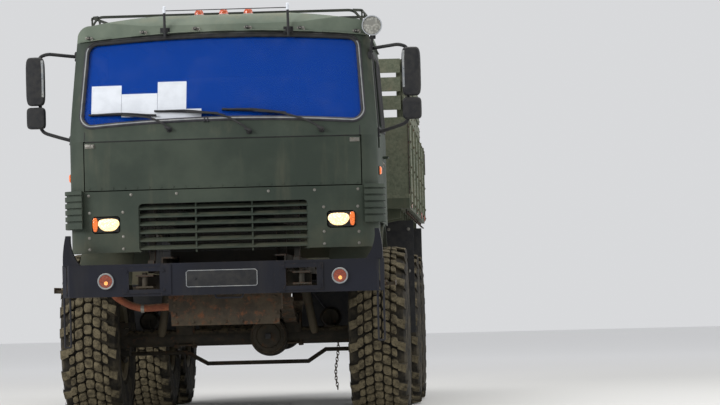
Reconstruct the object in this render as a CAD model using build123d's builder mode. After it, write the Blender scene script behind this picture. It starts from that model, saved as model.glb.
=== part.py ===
"""Six-wheel-drive forward-control military cargo truck, modelled piece by piece.

Millimetres. Z is up and the ground is z = 0. The origin lies on the ground under the middle
of the truck's bounding box. The truck faces -Y, so its left side is +X.
"""

import os
from math import cos, hypot, pi, radians, sin

from build123d import *

os.makedirs("parts", exist_ok=True)

# Driving dimensions of the whole truck
LENGTH = 7860
FRONT = -LENGTH / 2
TAIL = LENGTH / 2
FRONT_AXLE = FRONT + 1290
MIDDLE_AXLE = FRONT_AXLE + 3340
REAR_AXLE = MIDDLE_AXLE + 1320
TRACK = 2060
HALF_TRACK = TRACK / 2

# Wheels
TYRE_RADIUS = 626
TYRE_WIDTH = 425
LUG_HEIGHT = 26
LUG_SECTORS = 23
RIM_RADIUS = 270
BEAD_HALF = TYRE_WIDTH / 2 - 62
SEAT_FLATS = (RIM_RADIUS + 6) * cos(pi / LUG_SECTORS)
HUB_Z = TYRE_RADIUS
HUB_BORE = 52
RIM_STUDS = 8
HAND_HOLES = 4

# Chassis frame
RAIL_HALF = 432
RAIL_TOP = 1200
RAIL_HEIGHT = 260
RAIL_BOTTOM = RAIL_TOP - RAIL_HEIGHT
RAIL_FLANGE = 75
RAIL_STEEL = 10
RAIL_FRONT = FRONT + 110
RAIL_REAR = TAIL - 110

# Bumper
BUMPER_HALF = 1115
BUMPER_TOP = 1155
BUMPER_BOTTOM = 931
BUMPER_DEPTH = 60
BUMPER_BEVEL = 50

# Cab skin: a bowed front, leaning back above the cowl, and straight sides leaning in
CAB_FRONT = FRONT + 140
CAB_BACK = FRONT + 1950
CAB_HALF = 1080
CAB_TOP_HALF = 1036
CAB_BOW = 80
CAB_CORNER = 140
CAB_WALL = 45
CAB_SKIRT_Z = 1190
CAB_FLOOR_Z = 1420
CAB_FLOOR_STEEL = 40
COWL_Z = 2018
WAIST_Z = 2060
LEAN = 0.36
BRIM_Z = 2785
BRIM_END_Z = 2731
ROOF_Z = 2934
ROOF_SIDE_Z = 2850
FIREWALL_Y = FRONT + 330
SKIRT_BACK_Y = FRONT + 450

# Cab tilt hinge, behind the bumper
TILT_Y = FRONT + 130
TILT_Z = 1120

# Doors: the front edge is upright up to the waist and follows the pillar above it
DOOR_FRONT_Y = FRONT + 460
DOOR_TOP_FRONT_Y = FRONT + 610
DOOR_BACK_Y = FRONT + 1450
DOOR_BOTTOM_Z = 1440
DOOR_TOP_Z = 2690
DOOR_GAP = 10
BARREL_X = 1086
BARREL_Y = FRONT + 464

# Front lid below the cowl and the grille under it
LID_HALF = 965
LID_BOTTOM_Z = 1674
LID_TOP_Z = 2010
LID_GAP = 7

# Windscreen opening
SCREEN_HALF = 985
SCREEN_BOTTOM_Z = 2120
SCREEN_TOP_Z = 2712
SCREEN_CROWN = 40
SCREEN_CORNER = 75
GLASS = 7

# Steering
KINGPIN_X = 860

# Cargo body
BODY_FRONT = FRONT + 2860
BODY_BACK = TAIL - 60
BODY_HALF = 1225
BODY_FLOOR_Z = 1578
BODY_FLOOR = 80
BOARD_TOP_Z = 2290
BOARD = 35
LATTICE_TOP_Z = 2750
GATE_GAP = 8


def bar(start, end, radius):
    """Add a round bar from one point to another to the part being built."""
    run = Vector(*end) - Vector(*start)
    with Locations(Plane(origin=start, z_dir=run)):
        Cylinder(radius, run.length, align=(Align.CENTER, Align.CENTER, Align.MIN))


def block(x_range, y_range, z_range, mode=Mode.ADD):
    """Add (or cut) a square block between pairs of coordinates."""
    centre = [(low + high) / 2 for low, high in (x_range, y_range, z_range)]
    size = [high - low for low, high in (x_range, y_range, z_range)]
    with Locations(tuple(centre)):
        Box(*size, mode=mode)


def wheel_disc(x_inner, x_outer, radius, y, z=HUB_Z, mode=Mode.ADD):
    """Add (or cut) a disc on an axis along X between two x positions."""
    middle = ((x_inner + x_outer) / 2, y, z)
    with Locations(Location(middle, (0, 90, 0))):
        Cylinder(radius, abs(x_outer - x_inner), mode=mode)


# Chassis frame: two channel rails, their cross members and the cab's hinge brackets
with BuildPart() as frame_rails:
    with BuildSketch(Plane.XZ.offset(-RAIL_FRONT)) as rail_section:
        with Locations((RAIL_HALF - RAIL_FLANGE / 2, RAIL_TOP - RAIL_HEIGHT / 2)):
            Rectangle(RAIL_FLANGE, RAIL_HEIGHT)
        with Locations((RAIL_HALF - RAIL_STEEL - RAIL_FLANGE / 2, RAIL_TOP - RAIL_HEIGHT / 2)):
            Rectangle(RAIL_FLANGE, RAIL_HEIGHT - 2 * RAIL_STEEL, mode=Mode.SUBTRACT)
        mirror(about=Plane.YZ)
    extrude(amount=RAIL_FRONT - RAIL_REAR)
    for y in (FRONT + 400, -1400, -300, 1360, 2900, RAIL_REAR - 80):
        block((-RAIL_HALF + RAIL_STEEL, RAIL_HALF - RAIL_STEEL), (y - 40, y + 40),
              (RAIL_BOTTOM + 70, RAIL_TOP - 40))
    # Hinge brackets for the cab stand inside the bumper
    HINGE_X = 520
    for side in (-1, 1):
        inner, outer = side * (HINGE_X - 70), side * (HINGE_X - 40)
        block((min(inner, outer), max(inner, outer)), (TILT_Y - 35, TILT_Y + 70), (1085, 1150))
        block((min(side * 430, outer), max(side * 430, outer)), (TILT_Y + 10, TILT_Y + 70),
              (1085, 1140))
        bar((inner, TILT_Y, TILT_Z), (side * (HINGE_X + 30), TILT_Y, TILT_Z), 14)
frame_rails.part.label = "frame_rails"
export_step(frame_rails.part, "parts/frame_rails.step")

# Bumper: a channel with bevelled ends, a tow opening each side and a U handle below
TOW_X = 543
TOW_HALF = 107
TOW_Z = 1040
LAMP_X = 810
LAMP_RADIUS = 57
STEP_X = 1085
STEP_Y = FRONT + BUMPER_DEPTH - 7
STEP_Z = 590
BUMPER_FACE = FRONT + 16
with BuildPart() as front_bumper:
    with BuildSketch(Plane.XY.offset(BUMPER_BOTTOM)):
        with BuildLine():
            Polyline((-BUMPER_HALF, FRONT + BUMPER_DEPTH), (-BUMPER_HALF, FRONT + BUMPER_BEVEL),
                     (-BUMPER_HALF + BUMPER_BEVEL, BUMPER_FACE), (BUMPER_HALF - BUMPER_BEVEL, BUMPER_FACE),
                     (BUMPER_HALF, FRONT + BUMPER_BEVEL), (BUMPER_HALF, FRONT + BUMPER_DEPTH),
                     close=True)
        make_face()
    extrude(amount=BUMPER_TOP - BUMPER_BOTTOM)
    block((-BUMPER_HALF + 30, BUMPER_HALF - 30), (BUMPER_FACE + 10, FRONT + BUMPER_DEPTH + 1),
          (BUMPER_BOTTOM + 8, BUMPER_TOP - 8), Mode.SUBTRACT)
    for side in (-1, 1):
        x_range = sorted((side * (TOW_X - 150), side * (TOW_X + 150)))
        block(x_range, (FRONT + 8, BUMPER_FACE + 2), (TOW_Z - 90, TOW_Z + 90))
        with BuildSketch(Plane.XZ.offset(-FRONT - 9)):
            with Locations(*[(side * TOW_X + x, TOW_Z + z) for x in (-127, 127) for z in (-68, 68)]):
                RegularPolygon(13, 6)
        extrude(amount=9)
    handle = ((-60, BUMPER_BOTTOM + 4), (-48, 908), (128, 908), (140, BUMPER_BOTTOM + 4))
    for start, end in zip(handle, handle[1:]):
        bar((start[0], FRONT + 40, start[1]), (end[0], FRONT + 40, end[1]), 6)
    for side in (-1, 1):
        with Locations((side * TOW_X, FRONT, TOW_Z)):
            Box(2 * TOW_HALF, 60, 125, mode=Mode.SUBTRACT)
        x_range = sorted((side * (RAIL_HALF - 75), side * (RAIL_HALF - 5)))
        block(x_range, (FRONT + 9, RAIL_FRONT), (BUMPER_BOTTOM + 8, BUMPER_TOP - 8))
        with Locations(Location((side * LAMP_X, BUMPER_FACE + 5, TOW_Z), (90, 0, 0))):
            Cylinder(LAMP_RADIUS, 20, mode=Mode.SUBTRACT)
        # Wire step loop that hangs under the bumper's end
        corners = ((STEP_X - 20, BUMPER_BOTTOM + 4), (STEP_X - 20, STEP_Z), (STEP_X + 22, STEP_Z),
                   (STEP_X + 22, BUMPER_BOTTOM + 4))
        for start, end in zip(corners, corners[1:]):
            bar((side * start[0], STEP_Y, start[1]), (side * end[0], STEP_Y, end[1]), 7)
front_bumper.part.label = "front_bumper"
export_step(front_bumper.part, "parts/front_bumper.step")

HOOK_RADIUS = 38

# Tow fittings: a bolted jaw plate and pin each side in front, a hook at the tail
with BuildPart() as tow_fittings:
    for side in (-1, 1):
        x_range = (side * TOW_X - 60, side * TOW_X + 60)
        for z in (TOW_Z - 52, TOW_Z + 27):
            block(x_range, (FRONT + 22, RAIL_FRONT + 60), (z, z + 12))
        bar((side * TOW_X, FRONT + 52, TOW_Z - 60), (side * TOW_X, FRONT + 52, TOW_Z + 55), 19)
        x_range = sorted((side * RAIL_HALF, side * (TOW_X + 60)))
        block(x_range, (RAIL_FRONT + 60, RAIL_FRONT + 75), (TOW_Z - 80, TOW_Z + 38))
    block((-130, 130), (RAIL_REAR, RAIL_REAR + 14), (960, 1120))
    with BuildSketch(Plane.YZ):
        with BuildLine():
            hook = CenterArc((TAIL - HOOK_RADIUS - 15, 1040), HOOK_RADIUS, -60, 240)
        trace(hook, 30)
    extrude(amount=20, both=True)
    block((-20, 20), (RAIL_REAR + 10, RAIL_REAR + 24), (1000, 1080))
tow_fittings.part.label = "tow_fittings"
export_step(tow_fittings.part, "parts/tow_fittings.step")

# Bumper horns: curved corner guards that stand on the bumper's ends
HORN_TOP_Z = 1360
with BuildPart() as bumper_horns:
    with BuildSketch(Plane.XZ.offset(-(FRONT + 20))):
        with BuildLine():
            base = Line((990, BUMPER_TOP), (BUMPER_HALF - 8, BUMPER_TOP))
            outside = ThreePointArc(base @ 1, (1100, 1280), (1085, HORN_TOP_Z))
            top = Line(outside @ 1, (1055, HORN_TOP_Z))
            ThreePointArc(top @ 1, (1046, 1260), base @ 0)
        make_face()
        mirror(about=Plane.YZ)
    extrude(amount=-70)
bumper_horns.part.label = "bumper_horns"
export_step(bumper_horns.part, "parts/bumper_horns.step")

# Lamps on the chassis: round ones in the bumper, two clusters at the tail
with BuildPart() as chassis_lamps:
    with Locations(*[Location((side * LAMP_X, FRONT + 16, TOW_Z), (90, 0, 0)) for side in (-1, 1)]):
        Cylinder(LAMP_RADIUS, 30)
    for side in (-1, 1):
        block((side * 900 - 110, side * 900 + 110), (TAIL - 170, TAIL - 105),
              (BODY_FLOOR_Z - 100, BODY_FLOOR_Z))
chassis_lamps.part.label = "chassis_lamps"
export_step(chassis_lamps.part, "parts/chassis_lamps.step")

# Plate that closes the frame under the bumper
with BuildPart() as front_crossbeam:
    with BuildSketch(Plane.XZ.offset(-(RAIL_FRONT + 40))):
        with BuildLine():
            Polyline((-375, 720), (375, 720), (385, RAIL_BOTTOM), (-385, RAIL_BOTTOM), close=True)
        make_face()
    extrude(amount=-12)
    for side in (-1, 1):
        block((side * 385 - 8, side * 385 + 8), (RAIL_FRONT + 40, RAIL_FRONT + 160), (820, RAIL_BOTTOM))
front_crossbeam.part.label = "front_crossbeam"
export_step(front_crossbeam.part, "parts/front_crossbeam.step")

# Front axle: a tube, a bowl for the differential and an upright boss at each end
DIFF_X = 225
DIFF_RADIUS = 134
SPRING_X = 390
with BuildPart() as front_axle:
    wheel_disc(-KINGPIN_X + 20, KINGPIN_X - 20, 62, FRONT_AXLE)
    with Locations((DIFF_X, FRONT_AXLE, HUB_Z)):
        Sphere(DIFF_RADIUS + 14)
    with Locations(Location((DIFF_X, FRONT_AXLE - 120, HUB_Z), (90, 0, 0))):
        Cylinder(DIFF_RADIUS, 80)
    for side in (-1, 1):
        with Locations((side * KINGPIN_X, FRONT_AXLE, HUB_Z)):
            Cylinder(62, 150)
            Cylinder(25, 160, mode=Mode.SUBTRACT)
        block((side * SPRING_X - 55, side * SPRING_X + 55), (FRONT_AXLE - 70, FRONT_AXLE + 70),
              (HUB_Z + 20, HUB_Z + 90))
front_axle.part.label = "front_axle"
export_step(front_axle.part, "parts/front_axle.step")

# Both rear axles, alike, with a stub at each end that carries a wheel hub
STUB_RADIUS = 50
STUB_END = 1090
REAR_DIFF_X = 0
with BuildPart() as rear_axles:
    for y in (MIDDLE_AXLE, REAR_AXLE):
        wheel_disc(-835, 835, 70, y)
        wheel_disc(-STUB_END, STUB_END, STUB_RADIUS, y)
        with Locations((REAR_DIFF_X, y, HUB_Z)):
            Sphere(DIFF_RADIUS + 34)
        with Locations(Location((REAR_DIFF_X, y - 140, HUB_Z), (90, 0, 0))):
            Cylinder(95, 140)
        for side in (-1, 1):
            x_range = (side * 480 - 55, side * 480 + 55)
            block(x_range, (y - 70, y + 70), (HUB_Z + 20, HUB_Z + 90))
            wheel_disc(side * 780, side * 800, 200, y)
rear_axles.part.label = "rear_axles"
export_step(rear_axles.part, "parts/rear_axles.step")

# Leaf springs: arched packs, the front ones hung under the rails, the rear ones on a trunnion
SPRING_WIDTH = 90
FRONT_SPRING_HALF = 700
TRUNNION_Y = (MIDDLE_AXLE + REAR_AXLE) / 2
REAR_SPRING_X = 480
with BuildPart() as leaf_springs:
    for side in (-1, 1):
        with BuildSketch(Plane.YZ.offset(side * SPRING_X - SPRING_WIDTH / 2)):
            for leaf in range(4):
                half = FRONT_SPRING_HALF * (1 - 0.2 * leaf)
                rise = 120 * (half / FRONT_SPRING_HALF) ** 2
                low = HUB_Z + 90 + 14 * (3 - leaf)
                with BuildLine():
                    ends = ((FRONT_AXLE - half, low + rise), (FRONT_AXLE + half, low + rise))
                    over = ThreePointArc(ends[0], (FRONT_AXLE, low), ends[1])
                    Line(ends[1], (ends[1][0], ends[1][1] + 15))
                    under = ThreePointArc((ends[1][0], ends[1][1] + 15), (FRONT_AXLE, low + 15),
                                          (ends[0][0], ends[0][1] + 15))
                    Line((ends[0][0], ends[0][1] + 15), ends[0])
                make_face()
        extrude(amount=SPRING_WIDTH)
        for y in (FRONT_AXLE - FRONT_SPRING_HALF, FRONT_AXLE + FRONT_SPRING_HALF):
            block((side * SPRING_X - 40, side * SPRING_X + 40), (y - 45, y + 45), (872, RAIL_BOTTOM))
        with BuildSketch(Plane.YZ.offset(side * REAR_SPRING_X - SPRING_WIDTH / 2)):
            for leaf in range(5):
                half = (REAR_AXLE - TRUNNION_Y + 60) * (1 - 0.16 * leaf)
                drop = 70 * (half / 720) ** 2
                low = HUB_Z + 160 + 16 * leaf
                with BuildLine():
                    left = (TRUNNION_Y - half, low - drop)
                    right = (TRUNNION_Y + half, low - drop)
                    ThreePointArc(left, (TRUNNION_Y, low), right)
                    Line(right, (right[0], right[1] + 17))
                    ThreePointArc((right[0], right[1] + 17), (TRUNNION_Y, low + 17),
                                  (left[0], left[1] + 17))
                    Line((left[0], left[1] + 17), left)
                make_face()
        extrude(amount=SPRING_WIDTH)
        block((side * REAR_SPRING_X - 60, side * REAR_SPRING_X + 60),
              (TRUNNION_Y - 75, TRUNNION_Y + 75), (HUB_Z + 120, HUB_Z + 300))
        x_range = sorted((side * RAIL_HALF, side * (REAR_SPRING_X + 60)))
        block(x_range, (TRUNNION_Y - 120, TRUNNION_Y + 120), (HUB_Z + 260, RAIL_TOP - 20))
leaf_springs.part.label = "leaf_springs"
export_step(leaf_springs.part, "parts/leaf_springs.step")

# Engine block, and the radiator in front of it
with BuildPart() as engine:
    block((-330, 330), (FRONT + 700, FRONT + 1750), (870, 1395))
    for y in (FRONT + 850, FRONT + 1550):
        block((-RAIL_HALF + RAIL_STEEL, RAIL_HALF - RAIL_STEEL), (y - 45, y + 45), (1000, 1060))
engine.part.label = "engine"
export_step(engine.part, "parts/engine.step")

with BuildPart() as radiator:
    block((-345, 345), (FRONT + 500, FRONT + 600), (960, 1390))
    block((-410, 410), (FRONT + 520, FRONT + 580), (RAIL_TOP, 1390))
radiator.part.label = "radiator"
export_step(radiator.part, "parts/radiator.step")

# Drive line: gearbox, transfer case and the shafts to the axles
with BuildPart() as drive_line:
    block((-210, 210), (FRONT + 1750, FRONT + 2350), (800, 1150))
    block((-230, 260), (FRONT + 2700, FRONT + 3200), (700, 1120))
    block((-RAIL_HALF + RAIL_STEEL, RAIL_HALF - RAIL_STEEL), (FRONT + 2900, FRONT + 2990), (1040, 1110))
    bar((0, FRONT + 2340, 950), (0, FRONT + 2710, 930), 45)
    bar((DIFF_X, FRONT_AXLE + 150, HUB_Z + 20), (DIFF_X - 40, FRONT + 2720, 760), 42)
    bar((0, FRONT + 3190, 820), (0, MIDDLE_AXLE - 220, HUB_Z), 48)
    bar((0, MIDDLE_AXLE + 169, HUB_Z), (0, REAR_AXLE - 211, HUB_Z), 48)
drive_line.part.label = "drive_line"
export_step(drive_line.part, "parts/drive_line.step")

# Fuel tank on the right, battery box and air tanks on the left
TANK_FRONT = FRONT + 2150
TANK_BACK = FRONT + 3350
with BuildPart() as fuel_tank:
    with BuildSketch(Plane.XZ.offset(-TANK_FRONT)):
        with Locations((-800, 930)):
            RectangleRounded(560, 500, 90)
    extrude(amount=TANK_FRONT - TANK_BACK)
    for y in (TANK_FRONT + 250, TANK_BACK - 250):
        block((-560, -RAIL_HALF), (y - 40, y + 40), (980, 1080))
        with BuildSketch(Plane.XZ.offset(-y + 25)):
            with Locations((-800, 930)):
                RectangleRounded(568, 508, 94)
        extrude(amount=-50)
    bar((-900, TANK_FRONT + 130, 1170), (-900, TANK_FRONT + 130, 1212), 48)
fuel_tank.part.label = "fuel_tank"
export_step(fuel_tank.part, "parts/fuel_tank.step")

with BuildPart() as battery_box:
    block((560, 1060), (TANK_FRONT, TANK_FRONT + 600), (700, 1140))
    block((552, 1068), (TANK_FRONT - 8, TANK_FRONT + 608), (1096, 1150))
    for y in (TANK_FRONT + 100, TANK_FRONT + 450, TANK_FRONT + 850, TANK_FRONT + 1150):
        block((RAIL_HALF, 640), (y - 30, y + 30), (1000, 1080))
    with Locations(*[Location((700, TANK_FRONT + 960, z), (90, 0, 0)) for z in (820, 1050)]):
        Cylinder(110, 620)
    block((680, 720), (TANK_FRONT + 590, TANK_FRONT + 700), (760, 1100))
battery_box.part.label = "battery_box"
export_step(battery_box.part, "parts/battery_box.step")

# Silencer under the right rail
with BuildPart() as muffler:
    bar((-620, FRONT + 3500, 900), (-620, FRONT + 4200, 900), 120)
    bar((-620, FRONT + 3510, 900), (-490, FRONT + 3440, 960), 45)
    for y in (FRONT + 3600, FRONT + 4100):
        block((-540, -RAIL_HALF), (y - 20, y + 20), (950, 980))
muffler.part.label = "muffler"
export_step(muffler.part, "parts/muffler.step")


def ring_of_flats(stations, sides):
    """Closed ring of flat faces about the X axis through (x, distance of the flats) stations."""
    grow = 1 / cos(pi / sides)
    rows = []
    for x, reach in stations:
        turns = [2 * pi * (step + 0.5) / sides for step in range(sides)]
        rows.append([(x, reach * grow * sin(turn), -reach * grow * cos(turn)) for turn in turns])
    faces = []
    for row, following in zip(rows, rows[1:] + rows[:1]):
        for step in range(sides):
            after = (step + 1) % sides
            faces.append(Face(Wire.make_polygon([row[step], row[after], following[after], following[step]])))
    return Solid(Shell(faces))


def tyre_solid():
    """Tyre about the X axis at the origin: flat sectors, each with a chevron lug that points back below."""
    half = TYRE_WIDTH / 2
    tread = TYRE_RADIUS - LUG_HEIGHT
    stations = ((-BEAD_HALF, SEAT_FLATS), (-half, 450), (-half + 34, tread), (half - 34, tread),
                (half, 450), (BEAD_HALF, SEAT_FLATS))
    with BuildPart() as tyre:
        add(ring_of_flats(stations, LUG_SECTORS))
        with BuildSketch(Plane(origin=(0, 0, -tread + 3), x_dir=(1, 0, 0), z_dir=(0, 0, -1))) as lug:
            with BuildLine():
                Polyline((0, -62), (half - 42, 8), (half - 42, 68), (0, 4), (-half + 42, 68), (-half + 42, 8),
                         close=True)
            make_face()
        lug_solid = extrude(lug.sketch, amount=LUG_HEIGHT + 3, mode=Mode.PRIVATE)
        for sector in range(LUG_SECTORS):
            add(lug_solid.rotate(Axis.X, 360 / LUG_SECTORS * sector))
    return tyre.part


def rim_solid(dish):
    """Rim about the X axis: dish is +1 where its open outer side faces +X, -1 where -X."""
    bead = TYRE_WIDTH / 2 - 62
    seat = RIM_RADIUS + 6
    well = RIM_RADIUS - 12
    with BuildPart() as rim:
        with BuildSketch(Plane.XZ):
            with BuildLine():
                Polyline((-bead, seat), (-bead - 17, seat + 16), (-bead - 23, seat + 24),
                         (-bead - 34, seat + 24), (-bead - 34, seat + 8), (-bead - 14, well),
                         (bead + 14, well), (bead + 34, seat + 8), (bead + 34, seat + 24),
                         (bead + 23, seat + 24), (bead + 17, seat + 16), (bead, seat), close=True)
            make_face()
            with BuildLine():
                Polyline((50 * dish, well + 1), (80 * dish, well + 1), (20 * dish, 170),
                         (20 * dish, HUB_BORE), (0, HUB_BORE), (0, 170), close=True)
            make_face()
            with BuildLine():
                Polyline((10 * dish, HUB_BORE), (75 * dish, HUB_BORE), (75 * dish, 95),
                         (60 * dish, 118), (10 * dish, 118), close=True)
            make_face()
            with BuildLine():
                Polyline((70 * dish, 0), (95 * dish, 0), (95 * dish, 60), (75 * dish, 90),
                         (70 * dish, 90), close=True)
            make_face()
        revolve(axis=Axis.X)
        # The bead seat has the same flats as the tyre that sits on it
        half = TYRE_WIDTH / 2
        add(ring_of_flats(((-BEAD_HALF, SEAT_FLATS), (-half, 450), (half, 450), (BEAD_HALF, SEAT_FLATS)),
                          LUG_SECTORS), mode=Mode.SUBTRACT)
        for step in range(RIM_STUDS):
            turn = 2 * pi * step / RIM_STUDS
            with Locations(Location((24 * dish, 143 * sin(turn), 143 * cos(turn)), (0, 90, 0))):
                Cylinder(13, 30)
        for step in range(HAND_HOLES):
            turn = 2 * pi * (step + 0.5) / HAND_HOLES
            with Locations(Location((40 * dish, 205 * sin(turn), 205 * cos(turn)), (0, 90, 0))):
                Cylinder(26, 120, mode=Mode.SUBTRACT)
    return rim.part


tyre = tyre_solid()
rims = {side: rim_solid(side) for side in (-1, 1)}

# Each wheel: name, side, y of its axle
WHEELS = (
    ("front_left", 1, FRONT_AXLE),
    ("front_right", -1, FRONT_AXLE),
    ("middle_left", 1, MIDDLE_AXLE),
    ("middle_right", -1, MIDDLE_AXLE),
    ("rear_left", 1, REAR_AXLE),
    ("rear_right", -1, REAR_AXLE),
)
for corner, side, y in WHEELS:
    place = Location((side * HALF_TRACK, y, HUB_Z))
    with BuildPart() as wheel_tyre:
        add(tyre.moved(place))
    wheel_tyre.part.label = f"tyre_{corner}"
    export_step(wheel_tyre.part, f"parts/tyre_{corner}.step")
    with BuildPart() as wheel_rim:
        add(rims[side].moved(place))
    wheel_rim.part.label = f"rim_{corner}"
    export_step(wheel_rim.part, f"parts/rim_{corner}.step")

# Steering knuckles: a fork round the axle's boss, a stub for the wheel and a steering arm
ARM_X = KINGPIN_X
ARM_Y = FRONT_AXLE + 165
ARM_Z = HUB_Z - 110
for corner, side in (("left", 1), ("right", -1)):
    with BuildPart() as knuckle:
        for z in (HUB_Z + 100, HUB_Z - 100):
            x_range = sorted((side * (KINGPIN_X - 60), side * (KINGPIN_X + 95)))
            block(x_range, (FRONT_AXLE - 60, FRONT_AXLE + 60), (z - 20, z + 20))
        x_range = sorted((side * (KINGPIN_X + 70), side * (KINGPIN_X + 95)))
        block(x_range, (FRONT_AXLE - 60, FRONT_AXLE + 60), (HUB_Z - 120, HUB_Z + 120))
        bar((side * KINGPIN_X, FRONT_AXLE, HUB_Z - 130), (side * KINGPIN_X, FRONT_AXLE, HUB_Z + 130),
            24.7)
        wheel_disc(side * (KINGPIN_X + 80), side * STUB_END, STUB_RADIUS, FRONT_AXLE)
        bar((side * ARM_X, FRONT_AXLE + 30, ARM_Z - 20), (side * ARM_X, ARM_Y, ARM_Z - 46), 21)
        bar((side * ARM_X, ARM_Y, ARM_Z - 62), (side * ARM_X, ARM_Y, ARM_Z + 22), 14)
    knuckle.part.label = f"knuckle_{corner}"
    export_step(knuckle.part, f"parts/knuckle_{corner}.step")

# Tie rod between the two steering arms, cranked down under the differential
CRANK_Z = 432
with BuildPart() as tie_rod:
    bends = ((-ARM_X + 15, ARM_Z), (-400, ARM_Z), (-250, CRANK_Z), (490, CRANK_Z), (620, ARM_Z),
             (ARM_X - 15, ARM_Z))
    for start, end in zip(bends, bends[1:]):
        bar((start[0], ARM_Y, start[1]), (end[0], ARM_Y, end[1]), 15)
    for x, z in bends[1:-1]:
        with Locations((x, ARM_Y, z)):
            Sphere(15.5)
    for side in (-1, 1):
        with Locations((side * ARM_X, ARM_Y, ARM_Z)):
            Cylinder(28, 38)
            Cylinder(14.3, 60, mode=Mode.SUBTRACT)
tie_rod.part.label = "tie_rod"
export_step(tie_rod.part, "parts/tie_rod.step")

# Spare wheel, upright behind the cab, with its carrier frame
SPARE_Y = CAB_BACK + 330
SPARE_Z = RAIL_TOP + TYRE_RADIUS + 40
SPARE_X = -250
spare_place = Location((SPARE_X, SPARE_Y, SPARE_Z)) * Location((0, 0, 0), (0, 0, 90))
with BuildPart() as spare_tyre:
    add(tyre.moved(spare_place))
spare_tyre.part.label = "spare_tyre"
export_step(spare_tyre.part, "parts/spare_tyre.step")
with BuildPart() as spare_rim:
    add(rims[-1].moved(spare_place))
spare_rim.part.label = "spare_rim"
export_step(spare_rim.part, "parts/spare_rim.step")
with BuildPart() as spare_carrier:
    bar((SPARE_X, SPARE_Y - 50, SPARE_Z), (SPARE_X, SPARE_Y + 240, SPARE_Z), 50)
    bar((SPARE_X, SPARE_Y + 3, SPARE_Z), (SPARE_X, SPARE_Y + 240, SPARE_Z), 110)
    block((SPARE_X - 60, SPARE_X + 60), (SPARE_Y + 230, SPARE_Y + 290), (RAIL_TOP, SPARE_Z + 60))
    block((-420, 420), (SPARE_Y + 225, SPARE_Y + 295), (RAIL_TOP, RAIL_TOP + 70))
spare_carrier.part.label = "spare_carrier"
export_step(spare_carrier.part, "parts/spare_carrier.step")

# Air cleaner and its intake stack behind the cab's left corner
with BuildPart() as air_cleaner:
    bar((880, CAB_BACK + 260, 1300), (880, CAB_BACK + 260, 1900), 170)
    bar((880, CAB_BACK + 260, 1890), (880, CAB_BACK + 260, 2560), 90)
    bar((880, CAB_BACK + 260, 2540), (880, CAB_BACK + 260, 2700), 150)
    block((RAIL_HALF - 60, 900), (CAB_BACK + 200, CAB_BACK + 320), (RAIL_TOP, RAIL_TOP + 110))
air_cleaner.part.label = "air_cleaner"
export_step(air_cleaner.part, "parts/air_cleaner.step")


def cab_plan(inset, height, shift=0):
    """Plan outline of the cab at one height: bowed front, round corners, moved in by inset."""
    half = CAB_HALF - inset
    front = CAB_FRONT + inset + shift
    back = CAB_BACK - inset + 400
    with BuildSketch(Plane.XY.offset(height)) as plan:
        with BuildLine():
            bow = ThreePointArc((-half, front + CAB_BOW), (0, front), (half, front + CAB_BOW))
            Polyline(bow @ 1, (half, back), (-half, back), bow @ 0)
        make_face()
        fillet(plan.vertices().group_by(Axis.Y)[0], CAB_CORNER - inset)
    return plan.sketch


def cab_section(inset):
    """Front outline of the cab: upright to the waist, then leaning in to a crowned top."""
    half = CAB_HALF - inset
    top_half = CAB_TOP_HALF - inset
    with BuildSketch(Plane.XZ.offset(-(CAB_BACK - inset))) as section:
        with BuildLine():
            side = Polyline((top_half, BRIM_END_Z), (half, WAIST_Z), (half, CAB_SKIRT_Z),
                            (-half, CAB_SKIRT_Z), (-half, WAIST_Z), (-top_half, BRIM_END_Z))
            ThreePointArc(side @ 1, (0, BRIM_Z), side @ 0)
        make_face()
    return section.sketch


def cab_hull(inset):
    """The cab below its roof as one solid, moved in by inset from the outer skin."""
    height = BRIM_Z + 20 - COWL_Z
    with BuildPart() as hull:
        extrude(cab_plan(inset, CAB_SKIRT_Z), amount=COWL_Z - CAB_SKIRT_Z)
        extrude(cab_plan(inset, COWL_Z), amount=height * hypot(1, LEAN), dir=(0, LEAN, 1))
        extrude(cab_section(inset), amount=CAB_BACK - CAB_FRONT + 300, mode=Mode.INTERSECT)
    return hull.part


def side_outline(points, corner):
    """Outline seen from the side, as a sketch on the YZ plane with round corners."""
    with BuildSketch(Plane.YZ) as outline:
        with BuildLine():
            Polyline(*points, close=True)
        make_face()
        fillet(outline.vertices().filter_by(lambda point: abs(point.Y - WAIST_Z) > 1), corner)
    return outline.sketch


def door_outline(gap):
    """Door panel seen from the side, smaller than its opening by the gap."""
    return side_outline(
        ((DOOR_FRONT_Y + gap, DOOR_BOTTOM_Z + gap), (DOOR_FRONT_Y + gap, WAIST_Z),
         (DOOR_TOP_FRONT_Y + gap, DOOR_TOP_Z - gap), (DOOR_BACK_Y - gap, DOOR_TOP_Z - gap),
         (DOOR_BACK_Y - gap, DOOR_BOTTOM_Z + gap)), 50)


def door_window(grow):
    """Side window in the door, seen from the side."""
    return side_outline(
        ((DOOR_FRONT_Y + 110 - grow, WAIST_Z + 40 - grow),
         (DOOR_TOP_FRONT_Y + 80 - grow, DOOR_TOP_Z - 75 + grow),
         (DOOR_BACK_Y - 95 + grow, DOOR_TOP_Z - 75 + grow), (DOOR_BACK_Y - 95 + grow, WAIST_Z + 40 - grow)),
        60)


def back_window(grow):
    """Small side window behind the door, seen from the side."""
    return side_outline(
        ((DOOR_BACK_Y + 90 - grow, WAIST_Z + 60 - grow), (DOOR_BACK_Y + 90 - grow, DOOR_TOP_Z - 75 + grow),
         (CAB_BACK - 110 + grow, DOOR_TOP_Z - 75 + grow), (CAB_BACK - 110 + grow, WAIST_Z + 60 - grow)),
        60)


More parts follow.
